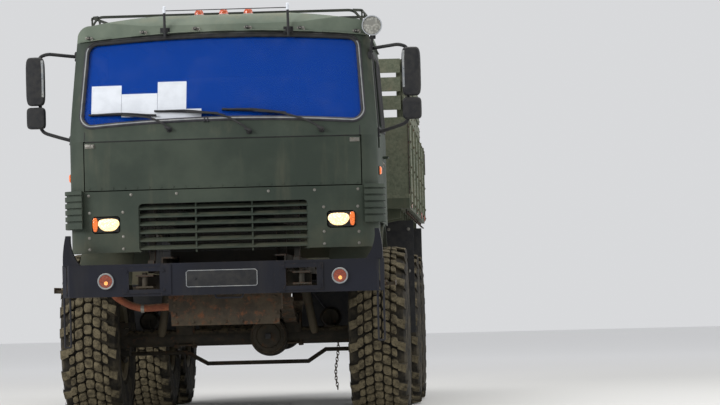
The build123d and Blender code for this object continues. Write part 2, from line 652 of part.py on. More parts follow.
def screen_outline(grow):
    """Windscreen opening seen from the front, its top and bottom edges crowned alike."""
    half = SCREEN_HALF + grow
    low = SCREEN_BOTTOM_Z - grow
    high = SCREEN_TOP_Z + grow
    with BuildSketch(Plane.XZ.offset(-CAB_FRONT + 400)) as outline:
        with BuildLine():
            base = ThreePointArc((-half, low), (0, low + SCREEN_CROWN), (half, low))
            Line(base @ 1, (half - 30, high))
            ThreePointArc((half - 30, high), (0, high + SCREEN_CROWN), (-half + 30, high))
            Line((-half + 30, high), base @ 0)
        make_face()
        fillet(outline.vertices(), SCREEN_CORNER + grow)
    return outline.sketch


SCREEN_REACH = 1200
FULL_HALF = CAB_HALF + 20
outer_hull = cab_hull(0)
inner_hull = cab_hull(CAB_WALL)
with BuildPart() as cab_shell:
    add(outer_hull)
    add(inner_hull, mode=Mode.SUBTRACT)
    # The cab is open below, and behind its front skirt it stops at the floor
    block((-FULL_HALF, FULL_HALF), (CAB_FRONT, CAB_BACK), (CAB_SKIRT_Z - 5, CAB_SKIRT_Z + CAB_WALL + 5),
          Mode.SUBTRACT)
    block((-FULL_HALF, FULL_HALF), (SKIRT_BACK_Y, CAB_BACK + 5), (CAB_SKIRT_Z - 5, CAB_FLOOR_Z),
          Mode.SUBTRACT)

# Cab front: cowl, windscreen frame and pillars in one pressing, up to the doors' front edges
with BuildPart() as front_zone:
    with BuildSketch(Plane.YZ):
        with BuildLine():
            Polyline((CAB_FRONT - 50, COWL_Z), (CAB_FRONT - 50, BRIM_Z + 50),
                     (DOOR_TOP_FRONT_Y, BRIM_Z + 50), (DOOR_TOP_FRONT_Y, DOOR_TOP_Z),
                     (DOOR_FRONT_Y, WAIST_Z), (DOOR_FRONT_Y, COWL_Z), close=True)
        make_face()
    extrude(amount=FULL_HALF, both=True)
with BuildPart() as cab_front:
    add(cab_shell.part)
    add(front_zone.part, mode=Mode.INTERSECT)
    extrude(screen_outline(0), amount=-SCREEN_REACH, mode=Mode.SUBTRACT)
cab_front.part.label = "cab_front"
export_step(cab_front.part, "parts/cab_front.step")

# Grille panel: the front skirt with its lamp openings and rows of air slots
GRILLE_HALF = 972
GRILLE_TOP_Z = LID_BOTTOM_Z - LID_GAP
HEADLAMP_X = 820
HEADLAMP_Z = 1434
AIR_HALF = 590
AIR_LOW_Z = 1240
AIR_HIGH_Z = 1575
SLAT_COUNT = 6
with BuildPart() as grille:
    add(cab_shell.part)
    block((-GRILLE_HALF, GRILLE_HALF), (CAB_FRONT - 10, FIREWALL_Y), (CAB_SKIRT_Z, GRILLE_TOP_Z),
          Mode.INTERSECT)
    with BuildSketch(Plane.XZ.offset(-CAB_FRONT + 50)):
        with Locations((0, (AIR_LOW_Z + AIR_HIGH_Z) / 2)):
            RectangleRounded(2 * AIR_HALF, AIR_HIGH_Z - AIR_LOW_Z, 30)
        for side in (-1, 1):
            with Locations((side * HEADLAMP_X, HEADLAMP_Z)):
                RectangleRounded(200, 120, 25)
    extrude(amount=-SCREEN_REACH / 3, mode=Mode.SUBTRACT)
    # Slats across the air opening, leaning back, on three uprights that are let into the panel
    slat_front = CAB_FRONT + CAB_BOW * (AIR_HALF / CAB_HALF) ** 2 + 6
    for step in range(SLAT_COUNT):
        z = AIR_LOW_Z + (AIR_HIGH_Z - AIR_LOW_Z) * (step + 0.5) / SLAT_COUNT
        with BuildSketch(Plane.YZ):
            with BuildLine():
                Polyline((slat_front, z - 14), (slat_front + 8, z - 16), (slat_front + 34, z + 10),
                         (slat_front + 34, z + 16), (slat_front + 6, z - 4), (slat_front, z - 4), close=True)
            make_face()
        extrude(amount=AIR_HALF + 4, both=True)
    for x in (-AIR_HALF - 2, -AIR_HALF / 3, AIR_HALF / 3, AIR_HALF - 8):
        block((x, x + 10), (slat_front + 8, slat_front + 36), (AIR_LOW_Z - 8, AIR_HIGH_Z + 8))
grille.part.label = "grille"
export_step(grille.part, "parts/grille.step")

# Front lid over the cooling pack, a moving panel
with BuildPart() as front_lid:
    add(cab_shell.part)
    block((-LID_HALF, LID_HALF), (CAB_FRONT - 10, FIREWALL_Y), (LID_BOTTOM_Z, LID_TOP_Z),
          Mode.INTERSECT)
front_lid.part.label = "front_lid"
export_step(front_lid.part, "parts/front_lid.step")

# Cab sides: corner panels, door openings and rear quarters with their windows
with BuildPart() as cab_sides:
    add(cab_shell.part)
    add(front_zone.part, mode=Mode.SUBTRACT)
    block((-GRILLE_HALF, GRILLE_HALF), (CAB_FRONT - 10, CAB_BACK + 10), (CAB_SKIRT_Z - 10, BRIM_Z + 50),
          Mode.SUBTRACT)
    extrude(door_outline(0), amount=FULL_HALF, both=True, mode=Mode.SUBTRACT)
    extrude(back_window(0), amount=FULL_HALF, both=True, mode=Mode.SUBTRACT)
cab_sides.part.label = "cab_sides"
export_step(cab_sides.part, "parts/cab_sides.step")

# Cab back wall
BACK_WINDOW_Z = 2380
BACK_WINDOW_WIDTH = 900
BACK_WINDOW_HEIGHT = 380
with BuildPart() as cab_back:
    add(cab_shell.part)
    block((-GRILLE_HALF, GRILLE_HALF), (CAB_BACK - CAB_WALL, CAB_BACK + 1), (CAB_FLOOR_Z, BRIM_Z + 50),
          Mode.INTERSECT)
    with BuildSketch(Plane.XZ.offset(-CAB_BACK - 10)):
        with Locations((0, BACK_WINDOW_Z)):
            RectangleRounded(BACK_WINDOW_WIDTH, BACK_WINDOW_HEIGHT, 60)
    extrude(amount=CAB_WALL + 20, mode=Mode.SUBTRACT)
cab_back.part.label = "cab_back"
export_step(cab_back.part, "parts/cab_back.step")

# Floor with the engine tunnel, the firewall behind the lid and the hinge arms
TUNNEL_HALF = 400
TUNNEL_Z = 1640
FLOOR_HALF = CAB_HALF - CAB_WALL
with BuildPart() as cab_floor:
    with BuildSketch(Plane.XZ.offset(-FIREWALL_Y)):
        with BuildLine():
            Polyline((-FLOOR_HALF, CAB_FLOOR_Z), (-TUNNEL_HALF, CAB_FLOOR_Z), (-TUNNEL_HALF + 50, TUNNEL_Z),
                     (TUNNEL_HALF - 50, TUNNEL_Z), (TUNNEL_HALF, CAB_FLOOR_Z), (FLOOR_HALF, CAB_FLOOR_Z),
                     (FLOOR_HALF, CAB_FLOOR_Z + CAB_FLOOR_STEEL),
                     (TUNNEL_HALF + 35, CAB_FLOOR_Z + CAB_FLOOR_STEEL),
                     (TUNNEL_HALF - 15, TUNNEL_Z + CAB_FLOOR_STEEL),
                     (-TUNNEL_HALF + 15, TUNNEL_Z + CAB_FLOOR_STEEL),
                     (-TUNNEL_HALF - 35, CAB_FLOOR_Z + CAB_FLOOR_STEEL),
                     (-FLOOR_HALF, CAB_FLOOR_Z + CAB_FLOOR_STEEL), close=True)
        make_face()
    extrude(amount=FIREWALL_Y - CAB_BACK + CAB_WALL)
    block((-FLOOR_HALF + 60, FLOOR_HALF - 60), (FIREWALL_Y, FIREWALL_Y + 30), (CAB_FLOOR_Z, COWL_Z - 20))
    block((-TUNNEL_HALF + 60, TUNNEL_HALF - 60), (FIREWALL_Y - 1, FIREWALL_Y + 31),
          (CAB_FLOOR_Z - 1, TUNNEL_Z - 20), Mode.SUBTRACT)
    for side in (-1, 1):
        x_range = sorted((side * (HINGE_X - 35), side * (HINGE_X + 5)))
        with BuildSketch(Plane.YZ.offset(x_range[0])):
            with BuildLine():
                Polyline((TILT_Y - 25, TILT_Z), (TILT_Y - 10, CAB_SKIRT_Z - 12),
                         (CAB_FRONT + 80, CAB_SKIRT_Z - 12), (CAB_FRONT + 80, CAB_FLOOR_Z + 200),
                         (FIREWALL_Y, CAB_FLOOR_Z + 200), (FIREWALL_Y, CAB_FLOOR_Z),
                         (CAB_FRONT + 130, CAB_SKIRT_Z), (TILT_Y + 15, TILT_Z - 22), close=True)
            make_face()
            with Locations((TILT_Y, TILT_Z)):
                Circle(30)
                Circle(14.4, mode=Mode.SUBTRACT)
        extrude(amount=40)
    add(cab_sides.part, mode=Mode.SUBTRACT)
cab_floor.part.label = "cab_floor"
export_step(cab_floor.part, "parts/cab_floor.step")


def roof_solid(inset):
    """Roof cap between its crowned brim and its crown, moved in by inset."""
    half = CAB_TOP_HALF - inset
    front = CAB_FRONT + LEAN * (BRIM_END_Z - COWL_Z) + inset
    back = CAB_BACK + 10 - inset
    with BuildPart() as roof:
        with BuildSketch(Plane.XZ.offset(-back)):
            with BuildLine():
                brim = ThreePointArc((-half, BRIM_END_Z), (0, BRIM_Z), (half, BRIM_END_Z))
                edge = Line(brim @ 1, (half - 6, BRIM_END_Z + 50))
                corner = ThreePointArc(edge @ 1, (half - 36, ROOF_SIDE_Z - inset - 22),
                                       (half - 110, ROOF_SIDE_Z - inset))
                crown = ThreePointArc(corner @ 1, (0, ROOF_Z - inset), (-half + 110, ROOF_SIDE_Z - inset))
                ThreePointArc(crown @ 1, (-half + 36, ROOF_SIDE_Z - inset - 22),
                              (-half + 6, BRIM_END_Z + 50))
                Line((-half + 6, BRIM_END_Z + 50), brim @ 0)
            make_face()
        extrude(amount=back - front + 5)
        with BuildSketch(Plane.YZ):
            with BuildLine():
                face = Line((front, BRIM_END_Z - 10), (front + 20, BRIM_Z + 50))
                rise = ThreePointArc(face @ 1, (front + 60, ROOF_Z - inset - 55),
                                     (front + 180, ROOF_Z - inset - 20))
                top = ThreePointArc(rise @ 1, (front + 700, ROOF_Z - inset), (back, ROOF_Z - inset - 40))
                Polyline(top @ 1, (back, BRIM_END_Z - 10), face @ 0)
            make_face()
        extrude(amount=half, both=True, mode=Mode.INTERSECT)
        extrude(cab_plan(inset, BRIM_END_Z - 20, LEAN * (BRIM_END_Z - COWL_Z)), amount=300,
                mode=Mode.INTERSECT)
    return roof.part


ROOF_SHEET = 40
with BuildPart() as cab_roof:
    add(roof_solid(0))
    inner_roof = roof_solid(ROOF_SHEET)
    add(inner_roof.moved(Location((0, 0, -60))), mode=Mode.SUBTRACT)
    add(inner_roof, mode=Mode.SUBTRACT)
cab_roof.part.label = "cab_roof"
export_step(cab_roof.part, "parts/cab_roof.step")

# Fixed glass: windscreen, rear quarter windows and the back window
GLASS_INSET = 16
glass_skin = cab_hull(GLASS_INSET)
glass_back = cab_hull(GLASS_INSET + GLASS)
SLAB_HALF = SCREEN_HALF + 40
SLAB_BOW = CAB_BOW * (SLAB_HALF / CAB_HALF) ** 2 / hypot(1, LEAN)
with BuildPart() as cab_glass:
    with BuildSketch(Plane(origin=(0, CAB_FRONT, COWL_Z), x_dir=(1, 0, 0), z_dir=(0, LEAN, 1))):
        with BuildLine():
            near, far = GLASS_INSET, GLASS_INSET + GLASS
            outer = ThreePointArc((-SLAB_HALF, near + SLAB_BOW), (0, near), (SLAB_HALF, near + SLAB_BOW))
            inner = ThreePointArc((SLAB_HALF, far + SLAB_BOW), (0, far), (-SLAB_HALF, far + SLAB_BOW))
            Line(outer @ 1, inner @ 0)
            Line(inner @ 1, outer @ 0)
        make_face()
    extrude(amount=(BRIM_Z - COWL_Z) * hypot(1, LEAN))
    extrude(screen_outline(-1), amount=-SCREEN_REACH, mode=Mode.INTERSECT)
    with BuildPart(mode=Mode.PRIVATE) as side_panes:
        add(glass_skin)
        add(glass_back, mode=Mode.SUBTRACT)
        extrude(back_window(-1), amount=FULL_HALF, both=True, mode=Mode.INTERSECT)
    add(side_panes.part)
    with BuildSketch(Plane.XZ.offset(-CAB_BACK + 30)):
        with Locations((0, BACK_WINDOW_Z)):
            RectangleRounded(BACK_WINDOW_WIDTH - 2, BACK_WINDOW_HEIGHT - 2, 59)
    extrude(amount=-GLASS)
cab_glass.part.label = "cab_glass"
export_step(cab_glass.part, "parts/cab_glass.step")

# Doors: panel and window on each side
for corner, side in (("left", 1), ("right", -1)):
    reach = side * FULL_HALF
    with BuildPart() as door:
        add(cab_shell.part)
        extrude(door_outline(DOOR_GAP), amount=reach, mode=Mode.INTERSECT)
        extrude(door_window(0), amount=reach, mode=Mode.SUBTRACT)
        # Two hinge barrels on leaves in front, and a handle at the back
        for z in (1580, 1980):
            bar((side * BARREL_X, BARREL_Y, z - 45), (side * BARREL_X, BARREL_Y, z + 45), 5)
            leaf = sorted((side * (CAB_HALF - 2), side * (BARREL_X - 1)))
            block(leaf, (BARREL_Y, BARREL_Y + 70), (z - 40, z + 40))
        grip = ((DOOR_BACK_Y - 190, CAB_HALF - 4), (DOOR_BACK_Y - 190, CAB_HALF + 34),
                (DOOR_BACK_Y - 60, CAB_HALF + 34), (DOOR_BACK_Y - 60, CAB_HALF - 4))
        for start, end in zip(grip, grip[1:]):
            bar((side * start[1], start[0], 1905), (side * end[1], end[0], 1905), 8)
    door.part.label = f"door_{corner}"
    export_step(door.part, f"parts/door_{corner}.step")
    with BuildPart() as door_glass:
        add(glass_skin)
        add(glass_back, mode=Mode.SUBTRACT)
        extrude(door_window(-1), amount=reach, mode=Mode.INTERSECT)
    door_glass.part.label = f"door_glass_{corner}"
    export_step(door_glass.part, f"parts/door_glass_{corner}.step")

# Headlamps, roof marker lamps and side repeaters, all on the cab
MARKER_PITCH = 175
with BuildPart() as cab_lamps:
    for side in (-1, 1):
        lamp_y = CAB_FRONT + CAB_BOW * (HEADLAMP_X / CAB_HALF) ** 2
        with BuildSketch(Plane.XZ.offset(-lamp_y - 4)):
            with Locations((side * HEADLAMP_X, HEADLAMP_Z)):
                RectangleRounded(192, 112, 22)
        extrude(amount=-70)
        x_range = sorted((side * (CAB_HALF - 1), side * (CAB_HALF + 24)))
        block(x_range, (FRONT + 370, FRONT + 440), (1745, 1800))
    for step in (-1, 0, 1):
        with Locations((step * MARKER_PITCH, FRONT + 600, ROOF_Z - 5)):
            Cylinder(32, 52)
    add(cab_roof.part, mode=Mode.SUBTRACT)
    add(cab_sides.part, mode=Mode.SUBTRACT)
cab_lamps.part.label = "cab_lamps"
export_step(cab_lamps.part, "parts/cab_lamps.step")

# Searchlight at the left roof corner
SEARCH_X = 1059
SEARCH_Y = FRONT + 420
SEARCH_Z = 2790
with BuildPart() as searchlight:
    with Locations(Location((SEARCH_X, SEARCH_Y, SEARCH_Z), (90, 0, 0))):
        Cone(73, 40, 120, rotation=(180, 0, 0))
    bar((SEARCH_X, SEARCH_Y, SEARCH_Z - 40), (SEARCH_X - 22, SEARCH_Y + 10, 2560), 12)
    add(cab_front.part, mode=Mode.SUBTRACT)
    add(cab_roof.part, mode=Mode.SUBTRACT)
searchlight.part.label = "searchlight"
export_step(searchlight.part, "parts/searchlight.step")

# Mirrors on the front pillars: main and wide-angle heads on one tube frame
MIRROR_X = 1326
MIRROR_Y = FRONT + 400
with BuildPart() as mirrors:
    for side in (-1, 1):
        x = side * MIRROR_X
        bar((side * 1035, FRONT + 520, 2640), (side * 1240, MIRROR_Y + 40, 2660), 13)
        bar((side * 1240, MIRROR_Y + 40, 2660), (side * 1300, MIRROR_Y + 40, 2640), 13)
        bar((side * 1300, MIRROR_Y + 40, 2640), (side * 1300, MIRROR_Y + 40, 2110), 13)
        bar((side * 1300, MIRROR_Y + 40, 2110), (side * 1065, FRONT + 430, 2040), 13)
        for low, high in ((2290, 2636), (2126, 2284)):
            with BuildSketch(Plane.XZ.offset(-(MIRROR_Y - 20))):
                with Locations((x, (low + high) / 2)):
                    RectangleRounded(136, high - low, 40)
            extrude(amount=-50)
        for z in (2200, 2460):
            block((x - 40, x + 40), (MIRROR_Y + 20, MIRROR_Y + 50), (z - 20, z + 20))
    add(cab_front.part, mode=Mode.SUBTRACT)
mirrors.part.label = "mirrors"
export_step(mirrors.part, "parts/mirrors.step")

# Roof rack: a flat rail in front and rails along the sides on short feet
with BuildPart() as roof_rack:
    with BuildSketch(Plane.XY.offset(2950)):
        with BuildLine():
            Polyline((-980, CAB_BACK - 60), (-980, FRONT + 820), (-900, FRONT + 700), (900, FRONT + 700),
                     (980, FRONT + 820), (980, CAB_BACK - 60), close=True)
        make_face()
        offset(amount=-12, mode=Mode.SUBTRACT)
    extrude(amount=50)
    for side in (-1, 1):
        for y in (FRONT + 860, FRONT + 1300, CAB_BACK - 120):
            x_range = sorted((side * 968, side * 980))
            block(x_range, (y - 25, y + 25), (2790, 2960))
    add(cab_roof.part, mode=Mode.SUBTRACT)
roof_rack.part.label = "roof_rack"
export_step(roof_rack.part, "parts/roof_rack.step")

def skin_y(x, z):
    """Depth of the cab's outer skin at a point seen from the front."""
    return CAB_FRONT + CAB_BOW * (x / CAB_HALF) ** 2 + LEAN * max(0, z - COWL_Z)


# Wipers: three arms and blades that park pointing right
WIPER_PIVOTS = (-360, 200, 710)
BLADE = 560
with BuildPart() as wipers:
    for pivot in WIPER_PIVOTS:
        pivot_point = (pivot, skin_y(pivot, 2085) - 28, 2085)
        knee = (pivot - 110, skin_y(pivot - 110, 2130) - 18, 2130)
        tip = (pivot - BLADE, skin_y(pivot - BLADE, 2185) - 14, 2185)
        bar(pivot_point, knee, 8)
        bar(knee, tip, 8)
        bar((pivot, skin_y(pivot, 2085) - 36, 2085), (pivot, skin_y(pivot, 2085) + 10, 2085), 16)
    add(cab_front.part, mode=Mode.SUBTRACT)
wipers.part.label = "wipers"
export_step(wipers.part, "parts/wipers.step")

# Cab fenders: ribbed corner pieces and a curved mudguard over each front wheel
GUARD_RADIUS = 780
RIB_DEPTH = 44
RIB_BOTTOM_Z = 1410
RIB_TOP_Z = 1675
RIB_GROOVES = (1452, 1498, 1544, 1590, 1636)
with BuildPart() as cab_fenders:
    with BuildSketch(Plane.YZ.offset(700)):
        with BuildLine():
            outer = CenterArc((FRONT_AXLE, HUB_Z), GUARD_RADIUS + 12, 40, 110)
            inner = CenterArc((FRONT_AXLE, HUB_Z), GUARD_RADIUS, 40, 110)
            Line(outer @ 0, inner @ 0)
            Line(outer @ 1, inner @ 1)
        make_face()
    extrude(amount=CAB_HALF - 700)
    block((720, CAB_HALF - 60), (FRONT_AXLE - 20, FRONT_AXLE + 20),
          (HUB_Z + GUARD_RADIUS, CAB_FLOOR_Z))
    corner_piece = extrude(cab_plan(-RIB_DEPTH, RIB_BOTTOM_Z), amount=RIB_TOP_Z - RIB_BOTTOM_Z,
                           mode=Mode.PRIVATE)
    with BuildPart(mode=Mode.PRIVATE) as corner_block:
        add(corner_piece)
        add(outer_hull, mode=Mode.SUBTRACT)
        block((985, CAB_HALF + RIB_DEPTH), (CAB_FRONT - 60, DOOR_FRONT_Y - 16),
              (RIB_BOTTOM_Z, RIB_TOP_Z), Mode.INTERSECT)
        groove_ring = extrude(cab_plan(-RIB_DEPTH - 20, 0), amount=14, mode=Mode.PRIVATE)
        groove_core = extrude(cab_plan(-RIB_DEPTH + 12, 0), amount=14, mode=Mode.PRIVATE)
        for z in RIB_GROOVES:
            add((groove_ring - groove_core).moved(Location((0, 0, z))), mode=Mode.SUBTRACT)
    add(corner_block.part)
    mirror(about=Plane.YZ)
cab_fenders.part.label = "cab_fenders"
export_step(cab_fenders.part, "parts/cab_fenders.step")

# Seats, dashboard with the steering column, and the steering wheel
SEAT_X = 620
with BuildPart() as seats:
    for side in (-1, 1):
        x_range = sorted((side * (SEAT_X - 180), side * (SEAT_X + 240)))
        block(x_range, (FRONT + 1050, FRONT + 1550), (1460, 1850))
        block(x_range, (FRONT + 1490, FRONT + 1620), (1840, 2500))
seats.part.label = "seats"
export_step(seats.part, "parts/seats.step")

with BuildPart() as dashboard:
    with BuildSketch(Plane.YZ.offset(-FLOOR_HALF + 20)):
        with BuildLine():
            Polyline((FIREWALL_Y + 30, 1700), (FIREWALL_Y + 30, 2080), (FRONT + 640, 2050),
                     (FRONT + 700, 1950), (FRONT + 560, 1700), close=True)
        make_face()
    extrude(amount=2 * (FLOOR_HALF - 20))
dashboard.part.label = "dashboard"
export_step(dashboard.part, "parts/dashboard.step")

WHEEL_Y = FRONT + 930
WHEEL_Z = 2110
with BuildPart() as steering_wheel:
    hub_plane = Plane(origin=(SEAT_X, WHEEL_Y, WHEEL_Z), x_dir=(1, 0, 0), z_dir=(0, 0.42, 0.91))
    with Locations(hub_plane):
        Torus(230, 16)
        Cylinder(50, 40)
        Box(450, 30, 14)
    bar((SEAT_X, WHEEL_Y, WHEEL_Z), (SEAT_X, FRONT + 690, 1930), 28)
    add(dashboard.part, mode=Mode.SUBTRACT)
steering_wheel.part.label = "steering_wheel"
export_step(steering_wheel.part, "parts/steering_wheel.step")

# Cargo floor on its sills and cross bearers
SILL_X = 380
FLOOR_TOP = BODY_FLOOR_Z + BODY_FLOOR
GATE_HINGES = (-900, 0, 900)
GATE_AXIS_Y = BODY_BACK + 10
GATE_AXIS_Z = FLOOR_TOP - 18
DECK_HALF = BODY_HALF - BOARD - 55
DECK_TOP = BODY_FLOOR_Z + BODY_FLOOR + 7
with BuildPart() as cargo_floor:
    block((-BODY_HALF, BODY_HALF), (BODY_FRONT, BODY_BACK - BOARD - GATE_GAP),
          (BODY_FLOOR_Z, BODY_FLOOR_Z + BODY_FLOOR))
    # Deck plate between the posts, which the load stands on
    block((-DECK_HALF, DECK_HALF), (BODY_FRONT + BOARD + 60, BODY_BACK - BOARD - GATE_GAP - 5),
          (BODY_FLOOR_Z + BODY_FLOOR, DECK_TOP))
    for side in (-1, 1):
        block((side * SILL_X - 40, side * SILL_X + 40), (BODY_FRONT + 20, RAIL_REAR - 40),
              (RAIL_TOP, RAIL_TOP + 200))
    bearers = 9
    for step in range(bearers):
        y = BODY_FRONT + 120 + step * (BODY_BACK - BODY_FRONT - 260) / (bearers - 1)
        with BuildSketch(Plane.XZ.offset(-y + 30)):
            with BuildLine():
                Polyline((-1150, BODY_FLOOR_Z), (-1150, BODY_FLOOR_Z - 70), (-500, RAIL_TOP + 200),
                         (500, RAIL_TOP + 200), (1150, BODY_FLOOR_Z - 70), (1150, BODY_FLOOR_Z), close=True)
            make_face()
        extrude(amount=-60)
    for x in GATE_HINGES:
        for plate_x in (x - 60, x + 50):
            block((plate_x, plate_x + 10), (BODY_BACK - BOARD - GATE_GAP - 1, GATE_AXIS_Y + 8),
                  (BODY_FLOOR_Z + 10, GATE_AXIS_Z + 8))
        bar((x - 60, GATE_AXIS_Y, GATE_AXIS_Z), (x + 60, GATE_AXIS_Y, GATE_AXIS_Z), 6)
cargo_floor.part.label = "cargo_floor"
export_step(cargo_floor.part, "parts/cargo_floor.step")

# Boards round the load bed, and the slatted racks above them
POSTS = 6
PLANK_LINES = (FLOOR_TOP + 210, FLOOR_TOP + 420)
with BuildPart() as cargo_boards:
    for side in (-1, 1):
        x_range = sorted((side * (BODY_HALF - BOARD), side * BODY_HALF))
        block(x_range, (BODY_FRONT, BODY_BACK - BOARD - GATE_GAP), (FLOOR_TOP, BOARD_TOP_Z))
    block((-BODY_HALF, BODY_HALF), (BODY_FRONT, BODY_FRONT + BOARD), (FLOOR_TOP, BOARD_TOP_Z))
    for side in (-1, 1):
        x_range = sorted((side * BODY_HALF, side * (BODY_HALF + 14)))
        for step in range(POSTS):
            y = BODY_FRONT + 120 + step * (BODY_BACK - BODY_FRONT - 320) / (POSTS - 1)
            block(x_range, (y - 35, y + 35), (FLOOR_TOP - 60, BOARD_TOP_Z - 12))
        for z in PLANK_LINES:
            block(sorted((side * (BODY_HALF - 5), side * (BODY_HALF + 1))),
                  (BODY_FRONT - 1, BODY_BACK), (z - 4, z + 4), Mode.SUBTRACT)
    for x in (-700, -230, 230, 700):
        block((x - 30, x + 30), (BODY_FRONT - 12, BODY_FRONT), (FLOOR_TOP + 20, BOARD_TOP_Z - 12))
cargo_boards.part.label = "cargo_boards"
export_step(cargo_boards.part, "parts/cargo_boards.step")

SLATS = 3
with BuildPart() as cargo_racks:
    for side in (-1, 1):
        post_x = side * (BODY_HALF - BOARD - 25)
        for step in range(POSTS):
            y = BODY_FRONT + 120 + step * (BODY_BACK - BODY_FRONT - 320) / (POSTS - 1)
            block((post_x - 25, post_x + 25), (y - 30, y + 30), (FLOOR_TOP, LATTICE_TOP_Z))
        for slat in range(SLATS):
            z = BOARD_TOP_Z + 60 + slat * 145
            x_range = sorted((side * (BODY_HALF - BOARD + 12), side * (BODY_HALF - BOARD - 2)))
            block(x_range, (BODY_FRONT + 20, BODY_BACK - 120), (z, z + 110))
    for slat in range(SLATS):
        z = BOARD_TOP_Z + 60 + slat * 145
        block((-BODY_HALF + 50, BODY_HALF - 50), (BODY_FRONT + BOARD - 14, BODY_FRONT + BOARD),
              (z, z + 110))
    for x in (-600, 0, 600):
        block((x - 30, x + 30), (BODY_FRONT + BOARD, BODY_FRONT + BOARD + 50),
              (BOARD_TOP_Z - 200, LATTICE_TOP_Z))
cargo_racks.part.label = "cargo_racks"
export_step(cargo_racks.part, "parts/cargo_racks.step")

# Tailgate, hinged along its lower edge
with BuildPart() as tailgate:
    block((-BODY_HALF, BODY_HALF), (BODY_BACK - BOARD, BODY_BACK), (FLOOR_TOP, BOARD_TOP_Z))
    for x in GATE_HINGES:
        block((x - 40, x + 40), (BODY_BACK, BODY_BACK + 10), (GATE_AXIS_Z, GATE_AXIS_Z + 120))
        bar((x - 44, GATE_AXIS_Y, GATE_AXIS_Z), (x + 44, GATE_AXIS_Y, GATE_AXIS_Z), 13)
        block((x - 30, x + 30), (BODY_BACK - 1, BODY_BACK + 12), (GATE_AXIS_Z + 118, BOARD_TOP_Z - 12))
        with Locations(Location((x, GATE_AXIS_Y, GATE_AXIS_Z), (0, 90, 0))):
            Cylinder(6.4, 200, mode=Mode.SUBTRACT)
tailgate.part.label = "tailgate"
export_step(tailgate.part, "parts/tailgate.step")

# Mudguards over and behind the rear wheels
with BuildPart() as mudguards:
    for side in (-1, 1):
        x_range = sorted((side * 830, side * 1220))
        for y in (MIDDLE_AXLE - 720, REAR_AXLE + 720):
            block(x_range, (y - 6, y + 6), (600, 1510))
        x_range = sorted((side * RAIL_HALF, side * 840))
        for y in (MIDDLE_AXLE - 720, REAR_AXLE + 720):
            block(x_range, (y - 20, y + 20), (1080, 1120))
mudguards.part.label = "mudguards"
export_step(mudguards.part, "parts/mudguards.step")
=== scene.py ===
from math import ceil, cos, pi, radians, sin, sqrt

import bmesh
import bpy
from mathutils import Matrix, Vector


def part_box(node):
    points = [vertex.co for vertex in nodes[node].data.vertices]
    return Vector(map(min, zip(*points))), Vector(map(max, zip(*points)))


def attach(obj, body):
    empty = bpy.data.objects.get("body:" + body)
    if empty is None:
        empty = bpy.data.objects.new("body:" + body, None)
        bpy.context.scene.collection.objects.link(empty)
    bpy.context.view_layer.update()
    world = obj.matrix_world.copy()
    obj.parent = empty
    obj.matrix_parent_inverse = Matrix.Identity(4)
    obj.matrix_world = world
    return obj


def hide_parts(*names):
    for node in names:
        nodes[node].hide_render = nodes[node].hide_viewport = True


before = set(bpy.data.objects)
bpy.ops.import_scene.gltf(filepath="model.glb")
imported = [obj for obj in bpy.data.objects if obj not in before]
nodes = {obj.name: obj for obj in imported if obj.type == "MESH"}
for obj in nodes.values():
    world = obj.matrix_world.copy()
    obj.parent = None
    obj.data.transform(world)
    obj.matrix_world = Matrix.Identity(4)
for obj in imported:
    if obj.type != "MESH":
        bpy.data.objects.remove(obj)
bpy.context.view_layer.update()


class Tone:
    """A value inside a finish, so that the finish can be written as arithmetic."""

    def __init__(self, finish, socket):
        self.finish = finish
        self.socket = socket

    def with_other(self, operation, first, second):
        return self.finish.step("ShaderNodeMath", {"operation": operation}, {0: first, 1: second})

    def __add__(self, other):
        return self.with_other("ADD", self, other)

    def __sub__(self, other):
        return self.with_other("SUBTRACT", self, other)

    def __rsub__(self, other):
        return self.with_other("SUBTRACT", other, self)

    def __mul__(self, other):
        return self.with_other("MULTIPLY", self, other)

    def __pow__(self, other):
        return self.with_other("POWER", self, other)

    __radd__, __rmul__ = __add__, __mul__


def rgb(colour, dim=1.0):
    """A colour as it looks on a screen, 0 to 255, as the shader wants it, dimmed to a share."""
    parts = [value / 255 for value in colour]
    return tuple(dim * (p / 12.92 if p <= 0.04045 else ((p + 0.055) / 1.055) ** 2.4) for p in parts) + (1.0,)


